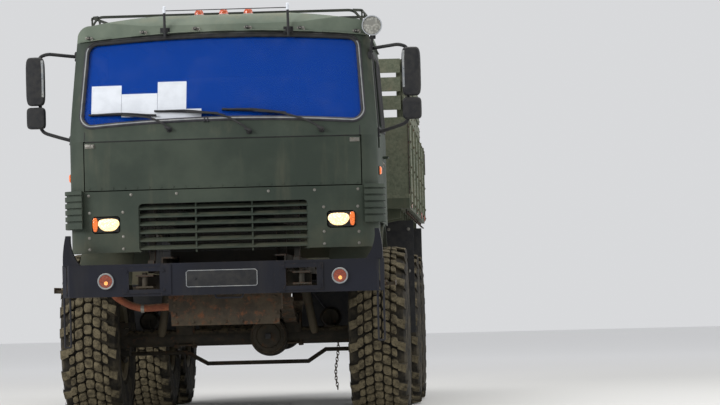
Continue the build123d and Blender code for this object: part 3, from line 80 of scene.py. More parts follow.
class Finish:
    """One surface finish: its nodes and the shader that they end in."""

    def __init__(self, name, fixed=None):
        self.material = bpy.data.materials.new(name)
        self.material.use_nodes = True
        self.tree = self.material.node_tree
        self.shader = self.tree.nodes["Principled BSDF"]
        for socket, value in (fixed or {}).items():
            self.shader.inputs[socket].default_value = value
        self.place = self.step("ShaderNodeTexCoord", out="Object")

    def step(self, kind, settings=None, feeds=None, out=0):
        """Add one node: its settings first, then the values or links of its sockets."""
        node = self.tree.nodes.new(kind)
        for name, value in (settings or {}).items():
            setattr(node, name, value)
        for name, value in (feeds or {}).items():
            if isinstance(value, Tone):
                self.tree.links.new(value.socket, node.inputs[name])
            else:
                node.inputs[name].default_value = value
        return Tone(self, node.outputs[out])

    def axis(self, name):
        """One coordinate of the surface, in metres."""
        return self.step("ShaderNodeSeparateXYZ", None, {0: self.place}, out=name)

    def upward(self):
        """How much the surface faces up."""
        normal = self.step("ShaderNodeNewGeometry", out="Normal")
        return self.step("ShaderNodeSeparateXYZ", None, {0: normal}, out="Z")

    def mottle(self, size, detail=4.0, rough=0.55, stretch=(1, 1, 1)):
        """Cloudy noise with patches of about that size in metres, stretched along an axis."""
        scaled = self.step("ShaderNodeVectorMath", {"operation": "MULTIPLY"},
                           {0: self.place, 1: tuple(1 / (size * s) for s in stretch)})
        return self.step("ShaderNodeTexNoise", None,
                         {"Vector": scaled, "Scale": 1.0, "Detail": detail, "Roughness": rough})

    def between(self, value, low, high):
        """0 below low, 1 above high, and smooth between them; low may be above high."""
        return self.step("ShaderNodeMapRange", {"interpolation_type": "SMOOTHSTEP"},
                         {"Value": value, "From Min": low, "From Max": high})

    def patches(self, size, detail, rough, low, high, stretch=(1, 1, 1)):
        """Mottle, cut to 0 below low and to 1 above high."""
        return self.between(self.mottle(size, detail, rough, stretch), low, high)

    def mix(self, share, first, second):
        """From the first colour to the second."""
        one, two = (colour if isinstance(colour, Tone) or len(colour) == 4 else rgb(colour)
                    for colour in (first, second))
        return self.step("ShaderNodeMix", {"data_type": "RGBA"}, {0: share, 6: one, 7: two}, out=2)

    def clamp(self, value):
        """Held between 0 and 1."""
        return self.step("ShaderNodeClamp", None, {0: value})

    def edges(self, reach):
        """1 on corners that are sharper than the reach, 0 on flat ground."""
        soft = self.step("ShaderNodeBevel", {"samples": 4}, {"Radius": reach})
        hard = self.step("ShaderNodeNewGeometry", out="Normal")
        same = self.step("ShaderNodeVectorMath", {"operation": "DOT_PRODUCT"}, {0: soft, 1: hard}, out="Value")
        return self.between(same, 0.985, 0.9)

    def end(self, colour, rough, relief=None, depth=0.001, metal=None, coat=None):
        """Join what was worked out to the shader."""
        links = self.tree.links
        for socket, value in (("Base Color", colour), ("Roughness", rough), ("Metallic", metal),
                              ("Coat Weight", coat)):
            if isinstance(value, Tone):
                links.new(value.socket, self.shader.inputs[socket])
            elif value is not None:
                self.shader.inputs[socket].default_value = value
        if relief is not None:
            bump = self.step("ShaderNodeBump", None, {"Height": relief, "Distance": depth, "Strength": 1.0},
                             out="Normal")
            links.new(bump.socket, self.shader.inputs["Normal"])
        return self.material


def painted_steel(name, paint, faded, dust, worn, dust_top, sheen=0.5, chips=0.55):
    """Old matt paint: clouded, dusty low down and on top, rubbed through on its edges."""
    f = Finish(name, {"Specular IOR Level": 0.28})
    cloud = f.mottle(0.45, 5, 0.6)
    colour = f.mix(f.between(cloud, 0.35, 0.72), paint, faded)
    streak = f.patches(0.11, 4, 0.6, 0.52, 0.78, (1, 1, 7))
    colour = f.mix(streak * 0.28, colour, dust)
    height = f.axis("Z")
    low = f.between(height + (f.mottle(0.18, 5, 0.6) - 0.5) * 0.9, dust_top, dust_top - 0.9)
    top = f.between(f.upward(), 0.55, 0.95) * f.patches(0.09, 6, 0.65, 0.38, 0.62)
    dirt = f.clamp(low * 0.75 + top * 0.45)
    colour = f.mix(dirt, colour, dust)
    speck = f.patches(0.012, 3, 0.6, 0.66, 0.72)
    rubbed = f.edges(0.006) * f.patches(0.035, 5, 0.7, chips, chips + 0.12)
    bare = f.clamp(rubbed + speck * low * 0.6)
    colour = f.mix(bare, colour, worn)
    rough = 0.62 - (sheen - 0.5) * 0.4 + cloud * 0.12 + dirt * 0.18
    relief = f.mottle(0.004, 2, 0.5) * 0.25 + cloud * 0.6 - bare * 0.5 + dirt * f.mottle(0.003, 3, 0.6) * 0.8
    return f.end(colour, rough, relief, 0.0012)


def rubber(name, colour, dusty, share):
    """Plain black rubber or plastic that has gone grey with dust."""
    f = Finish(name, {"Specular IOR Level": 0.3})
    cloud = f.patches(0.05, 5, 0.65, 0.35, 0.7)
    top = f.between(f.upward(), 0.2, 0.9)
    tint = f.mix(cloud * share + top * share * 0.6, colour, dusty)
    grain = f.mottle(0.0016, 2, 0.6)
    return f.end(tint, 0.5 + cloud * 0.3, grain * 0.5 + cloud * 0.4, 0.0006)


def worn_tyre():
    """Tyre: dusty light tops on its blocks, dark gaps, and rings of old mud on its walls."""
    f = Finish("worn_tyre", {"Specular IOR Level": 0.2})
    across, down = f.axis("Y"), f.axis("Z")
    radius = (across * across + down * down) ** 0.5
    tread = f.between(radius, 0.604, 0.619)
    patch = f.mottle(0.045, 6, 0.65)
    fine = f.mottle(0.008, 4, 0.7)
    dark = f.mix(f.between(patch, 0.3, 0.75), (21, 20, 18), (37, 34, 28))
    side = f.patches(0.08, 5, 0.6, 0.4, 0.68)
    colour = f.mix(side * (1 - tread) * 0.6, dark, (78, 71, 57))
    tops = f.mix(f.between(patch * 0.6 + fine * 0.4, 0.38, 0.62), (62, 56, 43), (108, 99, 78))
    colour = f.mix(tread * f.between(fine * 0.5 + patch * 0.5, 0.3, 0.46), colour, tops)
    rings = f.step("ShaderNodeMath", {"operation": "SINE"}, {0: radius * 900.0})
    relief = fine * 0.8 + rings * 0.12 * (1 - tread) + f.mottle(0.002, 2, 0.5) * 0.4
    return f.end(colour, 0.86 - f.between(patch, 0.5, 0.8) * 0.14, relief, 0.0014)


def rusty_iron(name, dark, light, rust, share):
    """Bare or thinly painted iron with rust blooms and caked dirt."""
    f = Finish(name, {"Specular IOR Level": 0.25})
    cloud = f.mottle(0.12, 6, 0.65)
    colour = f.mix(f.between(cloud, 0.35, 0.7), dark, light)
    bloom = f.patches(0.05, 7, 0.7, 0.62 - share * 0.3, 0.78 - share * 0.2)
    colour = f.mix(bloom, colour, rust)
    top = f.between(f.upward(), 0.3, 0.9) * f.patches(0.03, 4, 0.6, 0.35, 0.6)
    colour = f.mix(top * 0.5, colour, (126, 112, 88))
    crust = f.mottle(0.006, 5, 0.75)
    return f.end(colour, 0.78 + bloom * 0.14, cloud * 0.5 + crust * (0.5 + bloom * 0.8), 0.0022)


def bright_metal(name, colour, rough, dirt):
    """Plated or polished metal with fine scratches and a film of dirt."""
    f = Finish(name)
    film = f.patches(0.02, 5, 0.6, 0.45, 0.75)
    tint = f.mix(film * dirt, colour, (104, 96, 80))
    scratch = f.mottle(0.01, 3, 0.6, (6, 1, 0.4))
    return f.end(tint, rough + film * dirt * 0.5, scratch, 0.0003, metal=1.0 - film * dirt * 0.7)


def dusty_glass(name, colour, clear, dust, specular):
    """Tinted pane: sees through by the clear share, and holds a film of dust."""
    f = Finish(name, {"IOR": 1.5, "Specular IOR Level": specular})
    film = f.patches(0.16, 6, 0.65, 0.42, 0.78)
    fine = f.patches(0.004, 4, 0.7, 0.5, 0.8)
    tint = f.mix(film * dust + fine * dust * 0.08, colour, (150, 150, 142))
    f.tree.links.new((1.0 - clear + film * dust * 0.5).socket, f.shader.inputs["Alpha"])
    return f.end(tint, 0.04 + film * dust * 0.6)


def lens(name, colour, painted_glow, strength, pitch):
    """Moulded lamp glass with fine prisms and a painted glow from within: light caught in the glass, painted as
    emission.
    """
    f = Finish(name, {"IOR": 1.5, "Emission Strength": strength})
    prisms = f.step("ShaderNodeTexVoronoi", None, {"Vector": f.place, "Scale": 1 / pitch}, out="Distance")
    tint = f.mix(f.between(prisms, 0.2, 0.7), colour, rgb(colour, 0.55))
    film = f.patches(0.03, 4, 0.6, 0.5, 0.8)
    tint = f.mix(film * 0.35, tint, (128, 116, 96))
    # The painted glow is brightest at the middle of each prism, as painted glints.
    lit = f.mix(f.between(prisms, 0.1, 0.6), painted_glow, rgb(painted_glow, 0.45))
    f.tree.links.new(lit.socket, f.shader.inputs["Emission Color"])
    return f.end(tint, 0.12 + film * 0.3, prisms, 0.0012, coat=0.6)


def woven_cloth():
    """Grey-green woven seat cover."""
    f = Finish("woven_seat_cover", {"Sheen Weight": 0.25})
    warp, weft = (f.step("ShaderNodeTexWave", {"bands_direction": way},
                         {"Vector": f.place, "Scale": 160.0, "Distortion": 1.2}) for way in "XZ")
    weave = warp * weft
    worn = f.patches(0.12, 5, 0.6, 0.38, 0.7)
    colour = f.mix(worn, (62, 64, 56), (86, 84, 72))
    colour = f.mix(weave * 0.5, colour, (44, 46, 40))
    return f.end(colour, 0.9, weave + worn * 0.4, 0.0008)


def blank_paper():
    """Plain paper, slightly grey and wavy."""
    f = Finish("blank_paper")
    tint = f.mix(f.patches(0.09, 4, 0.5, 0.35, 0.7), (206, 210, 216), (196, 200, 206))
    return f.end(tint, 0.9, f.mottle(0.05, 3, 0.5), 0.0015)


def old_boards():
    """Painted boards of the load bed: long grain, worn paint."""
    f = Finish("painted_boards")
    grain = f.mottle(0.02, 6, 0.65, (1, 22, 1))
    colour = f.mix(f.between(grain, 0.3, 0.7), (72, 79, 62), (98, 102, 84))
    bare = f.patches(0.06, 6, 0.7, 0.6, 0.72, (1, 4, 1))
    colour = f.mix(bare * 0.7, colour, (120, 108, 88))
    dust = f.patches(0.3, 5, 0.6, 0.4, 0.75)
    colour = f.mix(dust * 0.3, colour, (124, 114, 94))
    return f.end(colour, 0.82, grain * 0.8 + bare * -0.6, 0.0016)


# Cab paint: the olive paint, darkened further by painted shade over the whole cab.
SHADED_CAB_COLOUR = painted_steel("shaded_cab_colour", (42, 51, 43), (58, 66, 56), (94, 90, 73), (46, 41, 36), 1.5)
# Roof paint: a lighter copy of the cab paint, as painted sunlight on the roof and its brim.
SUNLIT_ROOF_PAINT = painted_steel("roof_paint_painted_sunlight", (86, 96, 84), (108, 117, 103), (122, 118, 98), (52, 46, 40), 1.5)
RACK_PAINT = painted_steel("rack_paint", (34, 38, 32), (50, 54, 46), (96, 90, 72), (60, 44, 34), 0.4)
BED_PAINT = painted_steel("bed_paint", (60, 67, 53), (77, 82, 66), (104, 97, 78), (70, 50, 36), 1.75)
BUMPER_PAINT = painted_steel("bumper_paint", (8, 10, 20), (13, 16, 29), (48, 45, 41), (60, 50, 42), 1.05, 0.9, 0.5)
FRAME_PAINT = painted_steel("frame_paint", (31, 30, 26), (45, 41, 35), (84, 75, 58), (78, 50, 34), 1.35, 0.5, 0.42)
RIM_PAINT = painted_steel("rim_paint", (66, 72, 58), (84, 86, 70), (112, 100, 78), (76, 52, 38), 1.45)
RUSTY = rusty_iron("rusty_iron", (44, 38, 30), (64, 55, 42), (90, 58, 38), 0.4)
DRIVE_IRON = rusty_iron("axle_iron", (33, 31, 26), (52, 46, 36), (78, 52, 34), 0.25)
TYRE = worn_tyre()
SEAL_RUBBER = rubber("seal_rubber", (32, 32, 37), (84, 82, 88), 0.35)
BLACK_PLASTIC = rubber("black_plastic", (24, 25, 28), (74, 72, 68), 0.3)
TRIM_PLASTIC = rubber("cab_lining", (60, 61, 56), (96, 94, 84), 0.5)
CHROME = bright_metal("chrome", (205, 208, 212), 0.12, 0.35)
MIRROR = bright_metal("mirror_glass", (214, 220, 226), 0.03, 0.05)
ZINC = bright_metal("zinc_bolts", (128, 126, 120), 0.42, 0.7)
# The windscreen's deep blue is a painted reflection of the sky, not a tint of the glass.
SKY_BLUE_SCREEN = dusty_glass("windscreen_painted_sky", (2, 60, 150), 0.34, 0.04, 0.2)
SIDE_GLASS = dusty_glass("side_glass", (20, 29, 35), 0.16, 0.1, 0.25)
AMBER = lens("amber_lens", (196, 74, 20), (214, 92, 24), 0.25, 0.006)
AMBER_DEEP = lens("amber_lens_deep", (122, 44, 16), (150, 56, 18), 0.35, 0.007)
# A brightly glowing finish for a small spot in the bumper lamps: a painted glint.
AMBER_GLINT = lens("amber_lamp_painted_glint", (250, 170, 90), (255, 168, 84), 1.6, 0.007)
# Strongly glowing lens finishes for the headlamps, their turn lamps and the side repeaters: painted highlights of
# light caught in the glass.
AMBER_GLARE_LENS = lens("amber_lens_painted_glare", (220, 96, 30), (255, 128, 40), 0.9, 0.007)
CLEAR_GLARE_LENS = lens("clear_lens_painted_glare", (240, 222, 180), (255, 214, 150), 2.4, 0.011)
CLEAR = lens("clear_lens", (150, 150, 142), (120, 118, 108), 0.12, 0.016)
PALE_RING = rubber("pale_grey_ring", (120, 124, 128), (168, 166, 158), 0.5)
RED_PIPE = rusty_iron("reddish_pipe", (96, 52, 36), (124, 72, 50), (140, 84, 52), 0.4)
RED = lens("red_lens", (150, 20, 16), (160, 20, 14), 0.2, 0.008)
CLOTH = woven_cloth()
PAPER = blank_paper()
BOARDS = old_boards()

WHEELS = {"front": -2.64, "middle": 0.7, "rear": 2.02}
HUB = 0.626
TRACK = 2.06
SIDES = ((1, "left"), (-1, "right"))
LEFT, RIGHT, FRONT, BACK, UP, DOWN = (1, 0, 0), (-1, 0, 0), (0, -1, 0), (0, 1, 0), (0, 0, 1), (0, 0, -1)


def spread(first, last, count):
    """Evenly spaced values from the first to the last."""
    return [first + (last - first) * i / (count - 1) for i in range(count)]


def circle(radius, count, start=0.0):
    """Points evenly round a circle."""
    angles = [start + 2 * pi * i / count for i in range(count)]
    return [(radius * cos(a), radius * sin(a)) for a in angles]


def bar_outline(low_side, high_side, low, high):
    """Corners of a flat bar's section: its sides, then how far it reaches in and out."""
    return [(low_side, low), (high_side, low), (high_side, high), (low_side, high)]


def cab_skin(x, z, out=0.0):
    """How far back the cab's front skin lies at that place; out moves off it towards the front."""
    corner = max(0, abs(x) - 0.94)
    rounding = 0.14 - sqrt(max(0, 0.14 ** 2 - min(corner, 0.139) ** 2))
    return -3.79 + 0.08 * (x / 1.08) ** 2 + rounding + 0.36 * max(0, z - 2.018) - out


def on_skin(x, z, out=0.0):
    """The same as a place."""
    return Vector((x, cab_skin(x, z, out), z))


def skin_out(x, z):
    """Direction that the cab's front skin faces at that place."""
    step = 0.01
    along_x = cab_skin(x + step, z) - cab_skin(x - step, z)
    along_z = cab_skin(x, z + step) - cab_skin(x, z - step)
    return Vector((along_x / (2 * step), -1.0, along_z / (2 * step))).normalized()


def touch(names, start, heading):
    """Where a line from a point first meets one of the CAD nodes, and the way the surface faces there."""
    start, heading = Vector(start), Vector(heading).normalized()
    found = []
    for name in names.split():
        hit, spot, out, _ = nodes[name].ray_cast(start, heading)
        if hit:
            found.append(((spot - start).length, spot, out))
    if not found:
        raise ValueError(f"nothing of {names} lies on that line from {tuple(start)}")
    return min(found, key=lambda entry: entry[0])[1:]


def seen_front(names, x, z):
    """The same, looking back from the front."""
    return touch(names, (x, -5.0, z), BACK)


def seen_side(names, side, y, z):
    """The same, looking in from the left (1) or the right (-1)."""
    return touch(names, (side * 1.5, y, z), (-side, 0, 0))


def stand_on(spot, out, upright=UP):
    """A place on a surface: Z points off it, Y as far up as the surface allows."""
    z = Vector(out).normalized()
    y = Vector(upright) - z * z.dot(Vector(upright))
    if y.length < 1e-3:
        y = z.orthogonal()
    y.normalize()
    place = Matrix((y.cross(z), y, z)).transposed().to_4x4()
    place.translation = spot
    return place


def as_mesh(name, draft):
    """End a draft and hand over its mesh, with its faces turned outward and in the same order each run."""
    bmesh.ops.recalc_face_normals(draft, faces=draft.faces)
    draft.verts.index_update()
    count = len(draft.verts)

    def corner_order(face):
        first, second, third = sorted(vert.index for vert in face.verts)[:3]
        return (first * count + second) * count + third

    draft.faces.sort(key=corner_order)
    mesh = bpy.data.meshes.new(name)
    draft.to_mesh(mesh)
    draft.free()
    return mesh


def keep(name, form, coats, body, smooth=35, place=None):
    """Show a draft or a mesh as a piece of the truck that rides on a body."""
    mesh = form if isinstance(form, bpy.types.Mesh) else as_mesh(name, form)
    piece = bpy.data.objects.new(name, mesh)
    bpy.context.scene.collection.objects.link(piece)
    if place is not None:
        piece.matrix_world = place
    if not mesh.materials:
        for coat in coats if isinstance(coats, list) else [coats]:
            mesh.materials.append(coat)
        mesh.shade_smooth()
        edges = bmesh.new()
        edges.from_mesh(mesh)
        for edge in edges.edges:
            edge.smooth = len(edge.link_faces) == 2 and edge.calc_face_angle(0) < radians(smooth)
        edges.to_mesh(mesh)
        edges.free()
    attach(piece, body)
    return piece


def loft(draft, rings, slot=0, around=True, closed=False, first=False, last=False):
    """Faces between rings of places, with the first and last ring capped where that is asked for."""
    rings = [[draft.verts.new(spot) for spot in ring] for ring in rings]
    count = len(rings[0])
    for one, two in zip(rings, rings[1:] + (rings[:1] if closed else [])):
        for i in range(count if around else count - 1):
            j = (i + 1) % count
            draft.faces.new((one[i], one[j], two[j], two[i])).material_index = slot
    if first:
        draft.faces.new(rings[0][::-1]).material_index = slot
    if last:
        draft.faces.new(rings[-1]).material_index = slot
    return rings


def turn_profile(draft, profile, steps, centre=(0, 0, 0), axis="X", slot=0):
    """Turn (along, radius) points about an axis; a radius of 0 at the end closes the form there."""
    rings = []
    for along, radius in profile:
        ring = []
        for u, v in circle(radius, steps)[:steps if radius else 1]:
            spot = {"X": (along, u, v), "Y": (u, along, v), "Z": (u, v, along)}[axis]
            ring.append(draft.verts.new([c + s for c, s in zip(centre, spot)]))
        rings.append(ring)
    for one, two in zip(rings, rings[1:] + (rings[:1] if profile[-1][1] else [])):
        for i in range(steps):
            j = (i + 1) % steps
            corners = [one[i % len(one)], one[j % len(one)], two[j % len(two)], two[i % len(two)]]
            corners = list(dict.fromkeys(corners))
            if len(corners) > 2:
                draft.faces.new(corners).material_index = slot


def slab(draft, one, two, round_off=0.0, segments=2, slot=0, matrix=Matrix()):
    """A block between two corners with its edges rounded."""
    size = [abs(a - b) for a, b in zip(one, two)]
    middle = [(a + b) / 2 for a, b in zip(one, two)]
    place = matrix @ Matrix.Translation(middle) @ Matrix.Diagonal((*size, 1))
    made = bmesh.ops.create_cube(draft, size=1.0, matrix=place)
    faces = list(dict.fromkeys(face for vert in made["verts"] for face in vert.link_faces))
    for face in faces:
        face.material_index = slot
    if round_off:
        edges = list(dict.fromkeys(edge for face in faces for edge in face.edges))
        bmesh.ops.bevel(draft, geom=edges, offset=round_off, segments=segments, profile=0.6, affect="EDGES",
                        clamp_overlap=True, material=slot)


def run_along(draft, path, outline, up=UP, closed=False, slot=0):
    """Sweep an outline of (side, out) points along a path; up gives the outward direction, also one for each point."""
    rings = []
    count = len(path)
    for i, spot in enumerate(path):
        before = path[(i - 1) % count] if closed or i else path[0]
        after = path[(i + 1) % count] if closed or i < count - 1 else path[-1]
        ahead = (Vector(after) - Vector(before)).normalized()
        out = Vector(up[i] if isinstance(up, list) else up)
        out = out - ahead * out.dot(ahead)
        if out.length < 1e-4:
            out = ahead.orthogonal()
        out.normalize()
        side = ahead.cross(out)
        rings.append([Vector(spot) + side * s + out * o for s, o in outline])
    loft(draft, rings, slot, closed=closed, first=not closed, last=not closed)


def set_in(draft, part, place):
    """Set a form that was built about the origin into a draft, at its place."""
    bmesh.ops.transform(part, matrix=place, verts=part.verts)
    mesh = bpy.data.meshes.new("part")
    part.to_mesh(mesh)
    part.free()
    draft.from_mesh(mesh)
    bpy.data.meshes.remove(mesh)


def rounded_corner(before, corner, after, reach, steps):
    """Points of the bend that replaces a corner."""
    first, last = (corner + (end - corner).normalized() * reach for end in (before, after))
    return [first * (1 - t) ** 2 + corner * 2 * t * (1 - t) + last * t ** 2 for t in spread(0, 1, steps + 1)]


def bent_path(points, radius):
    """A path through the points with its corners rounded to the radius."""
    spots = [Vector(p) for p in points]
    path = [spots[0]]
    for before, corner, after in zip(spots, spots[1:], spots[2:]):
        reach = min(radius, (before - corner).length * 0.45, (after - corner).length * 0.45)
        path += rounded_corner(before, corner, after, reach, 5)
    return path + [spots[-1]]


def rod(draft, points, radius, corner=0.03, sides=8, slot=0):
    """A bent round rod through the points."""
    run_along(draft, bent_path(points, corner), circle(radius, sides), (0.13, 0.31, 0.94), slot=slot)


def hex_bolt(draft, spot, out, size=0.012, height=0.008, slot=0, washer=True):
    """A hexagon head with its washer, standing on a surface that faces out."""
    place = Matrix.Translation(spot) @ Vector(out).normalized().to_track_quat("Z", "Y").to_matrix().to_4x4()
    foot = 0.002 if washer else 0.0
    for rings, sides in (([(size * 1.5, 0), (size * 1.5, foot)] if washer else [], 12),
                         ([(size, foot), (size, height * 0.85), (size * 0.82, height)], 6)):
        if rings:
            loft(draft, [[place @ Vector((u, v, z)) for u, v in circle(radius, sides)] for radius, z in rings],
                 slot, last=True)


def bolt_front(draft, names, x, z, size, height):
    """A bolt on the front of a node, square to its surface."""
    hex_bolt(draft, *seen_front(names, x, z), size, height)


def bolt_side(draft, names, side, y, z, size, height, washer=True):
    """A bolt on the side of a node, pointing straight out."""
    hex_bolt(draft, seen_side(names, side, y, z)[0], (side, 0, 0), size, height, washer=washer)


# Tyres: a turned carcass with rounded blocks in long and short chevrons
TREAD_TOP = 0.6258
LUG_TOP = 0.6235
BLOCK_ROW = 24
FIRST_BLOCKS = [(0, 0, 0.0295, 0.034, 0), (0.064, 0.03, 0.0285, 0.034, 0.35)]
LONG_ARM = FIRST_BLOCKS + [(0.1215, 0.06, 0.0235, 0.033, 0.42)]
SHORT_ARM = FIRST_BLOCKS + [(0.118, 0.056, 0.0195, 0.029, 0.42)]


def squared(value, power=0.62):
    """Bend a circle's value towards a rounded square's."""
    return (abs(value) ** power) * (1 if value > 0 else -1)


def on_tyre(x, along, top, radius, fall=0.0):
    """A place from its way across and along the tread; the radius falls off towards the shoulder."""
    radius -= fall * (max(0, abs(x) - 0.15) / 0.06) ** 2
    return x, radius * sin(along / top), -radius * cos(along / top)


def tread_block(draft, across, along, half, deep, tilt):
    """One rounded rubber block on the crown of the tyre, from its place across and along the tread."""
    outline = [(half * squared(u), deep * squared(v)) for u, v in circle(1.0, 12, pi / 12)]
    levels = ((1.16, 0.596), (1.0, TREAD_TOP - 0.006), (0.97, TREAD_TOP - 0.0022), (0.88, TREAD_TOP))
    loft(draft, [[on_tyre(across + u * grow, along + (v + tilt * u) * grow, TREAD_TOP, level, 0.01)
                  for u, v in outline] for grow, level in levels], last=True)


def shoulder_lug(draft, side, along):
    """The wide outer lug that runs over the shoulder and down the wall."""
    corners = [(0.139, 0.042), (0.139, 0.1), (0.196, 0.128), (0.204, 0.06)]
    middle_x, middle_y = 0.1695, 0.0825
    rows = []
    for grow, lift in ((1.0, -0.034), (0.97, -0.004), (0.9, 0)):
        row = []
        for x, y in corners:
            x, y = middle_x + (x - middle_x) * grow, middle_y + (y - middle_y) * grow
            row.append(draft.verts.new(on_tyre(side * x, along + y, LUG_TOP, LUG_TOP + lift, 0.013)))
        rows.append(row)
    foot = [draft.verts.new(on_tyre(side * 0.2105, along + y, LUG_TOP, LUG_TOP - drop))
            for (x, y), drop in zip(corners[2:], (0.075, 0.072))]
    faces = [(one[i], one[(i + 1) % 4], two[(i + 1) % 4], two[i]) for one, two in zip(rows, rows[1:])
             for i in range(4) if i != 2 or one is not rows[0]]
    faces += [(foot[0], foot[1], rows[1][3], rows[1][2]), (rows[0][2], foot[0], rows[1][2]),
              (foot[1], rows[0][3], rows[1][3]), rows[-1]]
    for face in faces:
        draft.faces.new(face[::side])


def tyre_mesh():
    """The whole tyre about its own axle line."""
    draft = bmesh.new()
    wall = [(0.15, 0.272), (0.168, 0.274), (0.176, 0.29), (0.178, 0.312), (0.186, 0.33), (0.19, 0.334),
            (0.188, 0.34), (0.197, 0.38), (0.2055, 0.425), (0.2075, 0.452), (0.2105, 0.456), (0.2075, 0.461),
            (0.2078, 0.5), (0.2035, 0.535), (0.2055, 0.54), (0.202, 0.546), (0.196, 0.57), (0.186, 0.588),
            (0.16, 0.5965), (0.1, 0.5995), (0, 0.601)]
    turn_profile(draft, wall + [(-x, r) for x, r in wall[-2::-1]], 96)
    pitch = 2 * pi * TREAD_TOP / BLOCK_ROW
    for row in range(BLOCK_ROW):
        for side, _ in SIDES:
            for arm, foot in ((LONG_ARM, row * pitch), (SHORT_ARM, (row + 0.5) * pitch)):
                for x, y, half, deep, tilt in arm:
                    if x or side > 0:
                        tread_block(draft, side * x, foot + y, half, deep, side * tilt)
            shoulder_lug(draft, side, row * pitch)
    return as_mesh("tyre", draft)


tyre = tyre_mesh()
for row, y in WHEELS.items():
    for side, corner in SIDES:
        piece = keep(f"tyre_tread_{row}_{corner}", tyre, TYRE, f"wheel_{row}_{corner}",
                     place=Matrix.Translation((side * TRACK / 2, y, HUB)))
        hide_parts(f"tyre_{row}_{corner}")
spare_low, spare_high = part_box("spare_tyre")
spare = keep("spare_tyre_tread", tyre, TYRE, "chassis",
             place=Matrix.Translation((spare_low + spare_high) / 2) @ Matrix.Rotation(pi / 2, 4, "Z"))
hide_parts("spare_tyre")


# Windscreen seal on the bowed skin
def screen_edge():
    """Points round the seal, seen from the front: along the foot, up the right, back along the top, down."""
    half, low, high, turn, top_half = 0.989, 2.116, 2.716, 0.079, 0.959

    def crown(x):
        return 0.04 * (1 - (x / half) ** 2)

    foot, head = low + crown(half - turn), high + crown(top_half - turn)
    bend = [pi * i / 16 for i in range(9)]
    right = [(half - turn + turn * sin(a), foot + turn - turn * cos(a)) for a in bend[1:]]
    right += zip(spread(half, top_half, 9)[1:-1], spread(foot + turn, head - turn, 9)[1:-1])
    right += [(top_half - turn + turn * cos(a), head - turn + turn * sin(a)) for a in bend]
    points = [(x, low + crown(x)) for x in spread(turn - half, half - turn, 25)] + right
    points += [(x, high + crown(x)) for x in spread(top_half - turn, turn - top_half, 25)[1:-1]]
    return points + [(-x, z) for x, z in right[::-1]]


draft = bmesh.new()
edge = screen_edge()
lips = [(-0.017, -0.01), (-0.017, 0.002), (-0.013, 0.008), (-0.005, 0.0095), (-0.0035, 0.0065), (0.0035, 0.0065),
        (0.005, 0.0095), (0.012, 0.0085), (0.017, 0.004), (0.018, -0.001), (0.018, -0.01)]
run_along(draft, [on_skin(x, z) for x, z in edge], lips, [skin_out(x, z) for x, z in edge], closed=True)
# Seal faces above this height are black: painted shadow under the roof brim along the seal's top run.
SEAL_SHADOW_HEIGHT = 2.7
for face in draft.faces:
    if face.calc_center_median().z > SEAL_SHADOW_HEIGHT:
        face.material_index = 2
# A pale strip down the middle of the seal on its sides and foot, left off the shaded top: a painted highlight on the
# rubber.
highlight_strip = [(-0.0052, 0.004), (-0.0052, 0.0082), (-0.003, 0.0102), (0.003, 0.0102), (0.0052, 0.0082), (0.0052, 0.004)]
HIGHLIGHT_FIRST, HIGHLIGHT_END = 77, 44
under = edge[HIGHLIGHT_FIRST:] + edge[:HIGHLIGHT_END]
run_along(draft, [on_skin(x, z) for x, z in under], highlight_strip, [skin_out(x, z) for x, z in under], slot=1)
keep("screen_seal", draft, [SEAL_RUBBER, PALE_RING, BLACK_PLASTIC], "cab", smooth=50)

draft = bmesh.new()
for x in (-0.116, -0.094):
    z = 2.116 + 0.04 * (1 - (x / 0.985) ** 2)
    slab(draft, (-0.005, -0.026, -0.008), (0.005, 0.014, 0.013), 0.003, matrix=stand_on(on_skin(x, z), skin_out(x, z)))
keep("screen_seal_joint", draft, SEAL_RUBBER, "cab")

# Blank sheets on the windscreen: left, right, low, high and how far before the pane
SHEETS = [(-0.92, -0.707, 2.215, 2.415, 0.0012), (-0.705, -0.452, 2.186, 2.351, 0.0022),
          (-0.45, -0.247, 2.231, 2.431, 0.0012), (-0.494, -0.14, 2.166, 2.232, 0.0032)]
draft = bmesh.new()
for left, right, low, high, deep in SHEETS:
    loft(draft, [[(x, seen_front("cab_glass", x, z)[0].y - deep + 0.0003 * sin(i * 1.3 + left * 20)
                   + 0.0002 * cos(j * 1.7 + low * 9), z) for i, x in enumerate(spread(left, right, 9))]
                 for j, z in enumerate(spread(low, high, 9))], around=False)
piece = keep("screen_sheets", draft, PAPER, "cab")
piece.modifiers.new("paper", "SOLIDIFY").thickness = 0.0006

# Rolled lip along the roof brim's lower edge, and a dark strip under it as painted shadow
brim = []
for x in spread(-1.012, 1.012, 49):
    for z in spread(2.722, 2.84, 60):
        hit, spot, _, _ = nodes["cab_roof"].ray_cast(Vector((x, -5.0, z)), Vector(BACK))
        if hit:
            brim.append(spot)
            break
draft = bmesh.new()
run_along(draft, [spot + Vector((0, 0, 0.003)) for spot in brim],
          [(-0.0035, -0.003), (0.0035, -0.003), (0.0035, 0.01), (0.0018, 0.0125), (-0.0018, 0.0125), (-0.0035, 0.01)],
          FRONT)
keep("roof_brim_lip", draft, SUNLIT_ROOF_PAINT, "cab")
# The dark strip under the lip is painted shadow cast by the brim.
draft = bmesh.new()
run_along(draft, [on_skin(spot.x, spot.z, 0.001) - Vector((0, 0, 0.007)) for spot in brim],
          bar_outline(-0.006, 0.006, -0.006, 0.0015), FRONT)
keep("roof_brim_joint", draft, BLACK_PLASTIC, "cab")

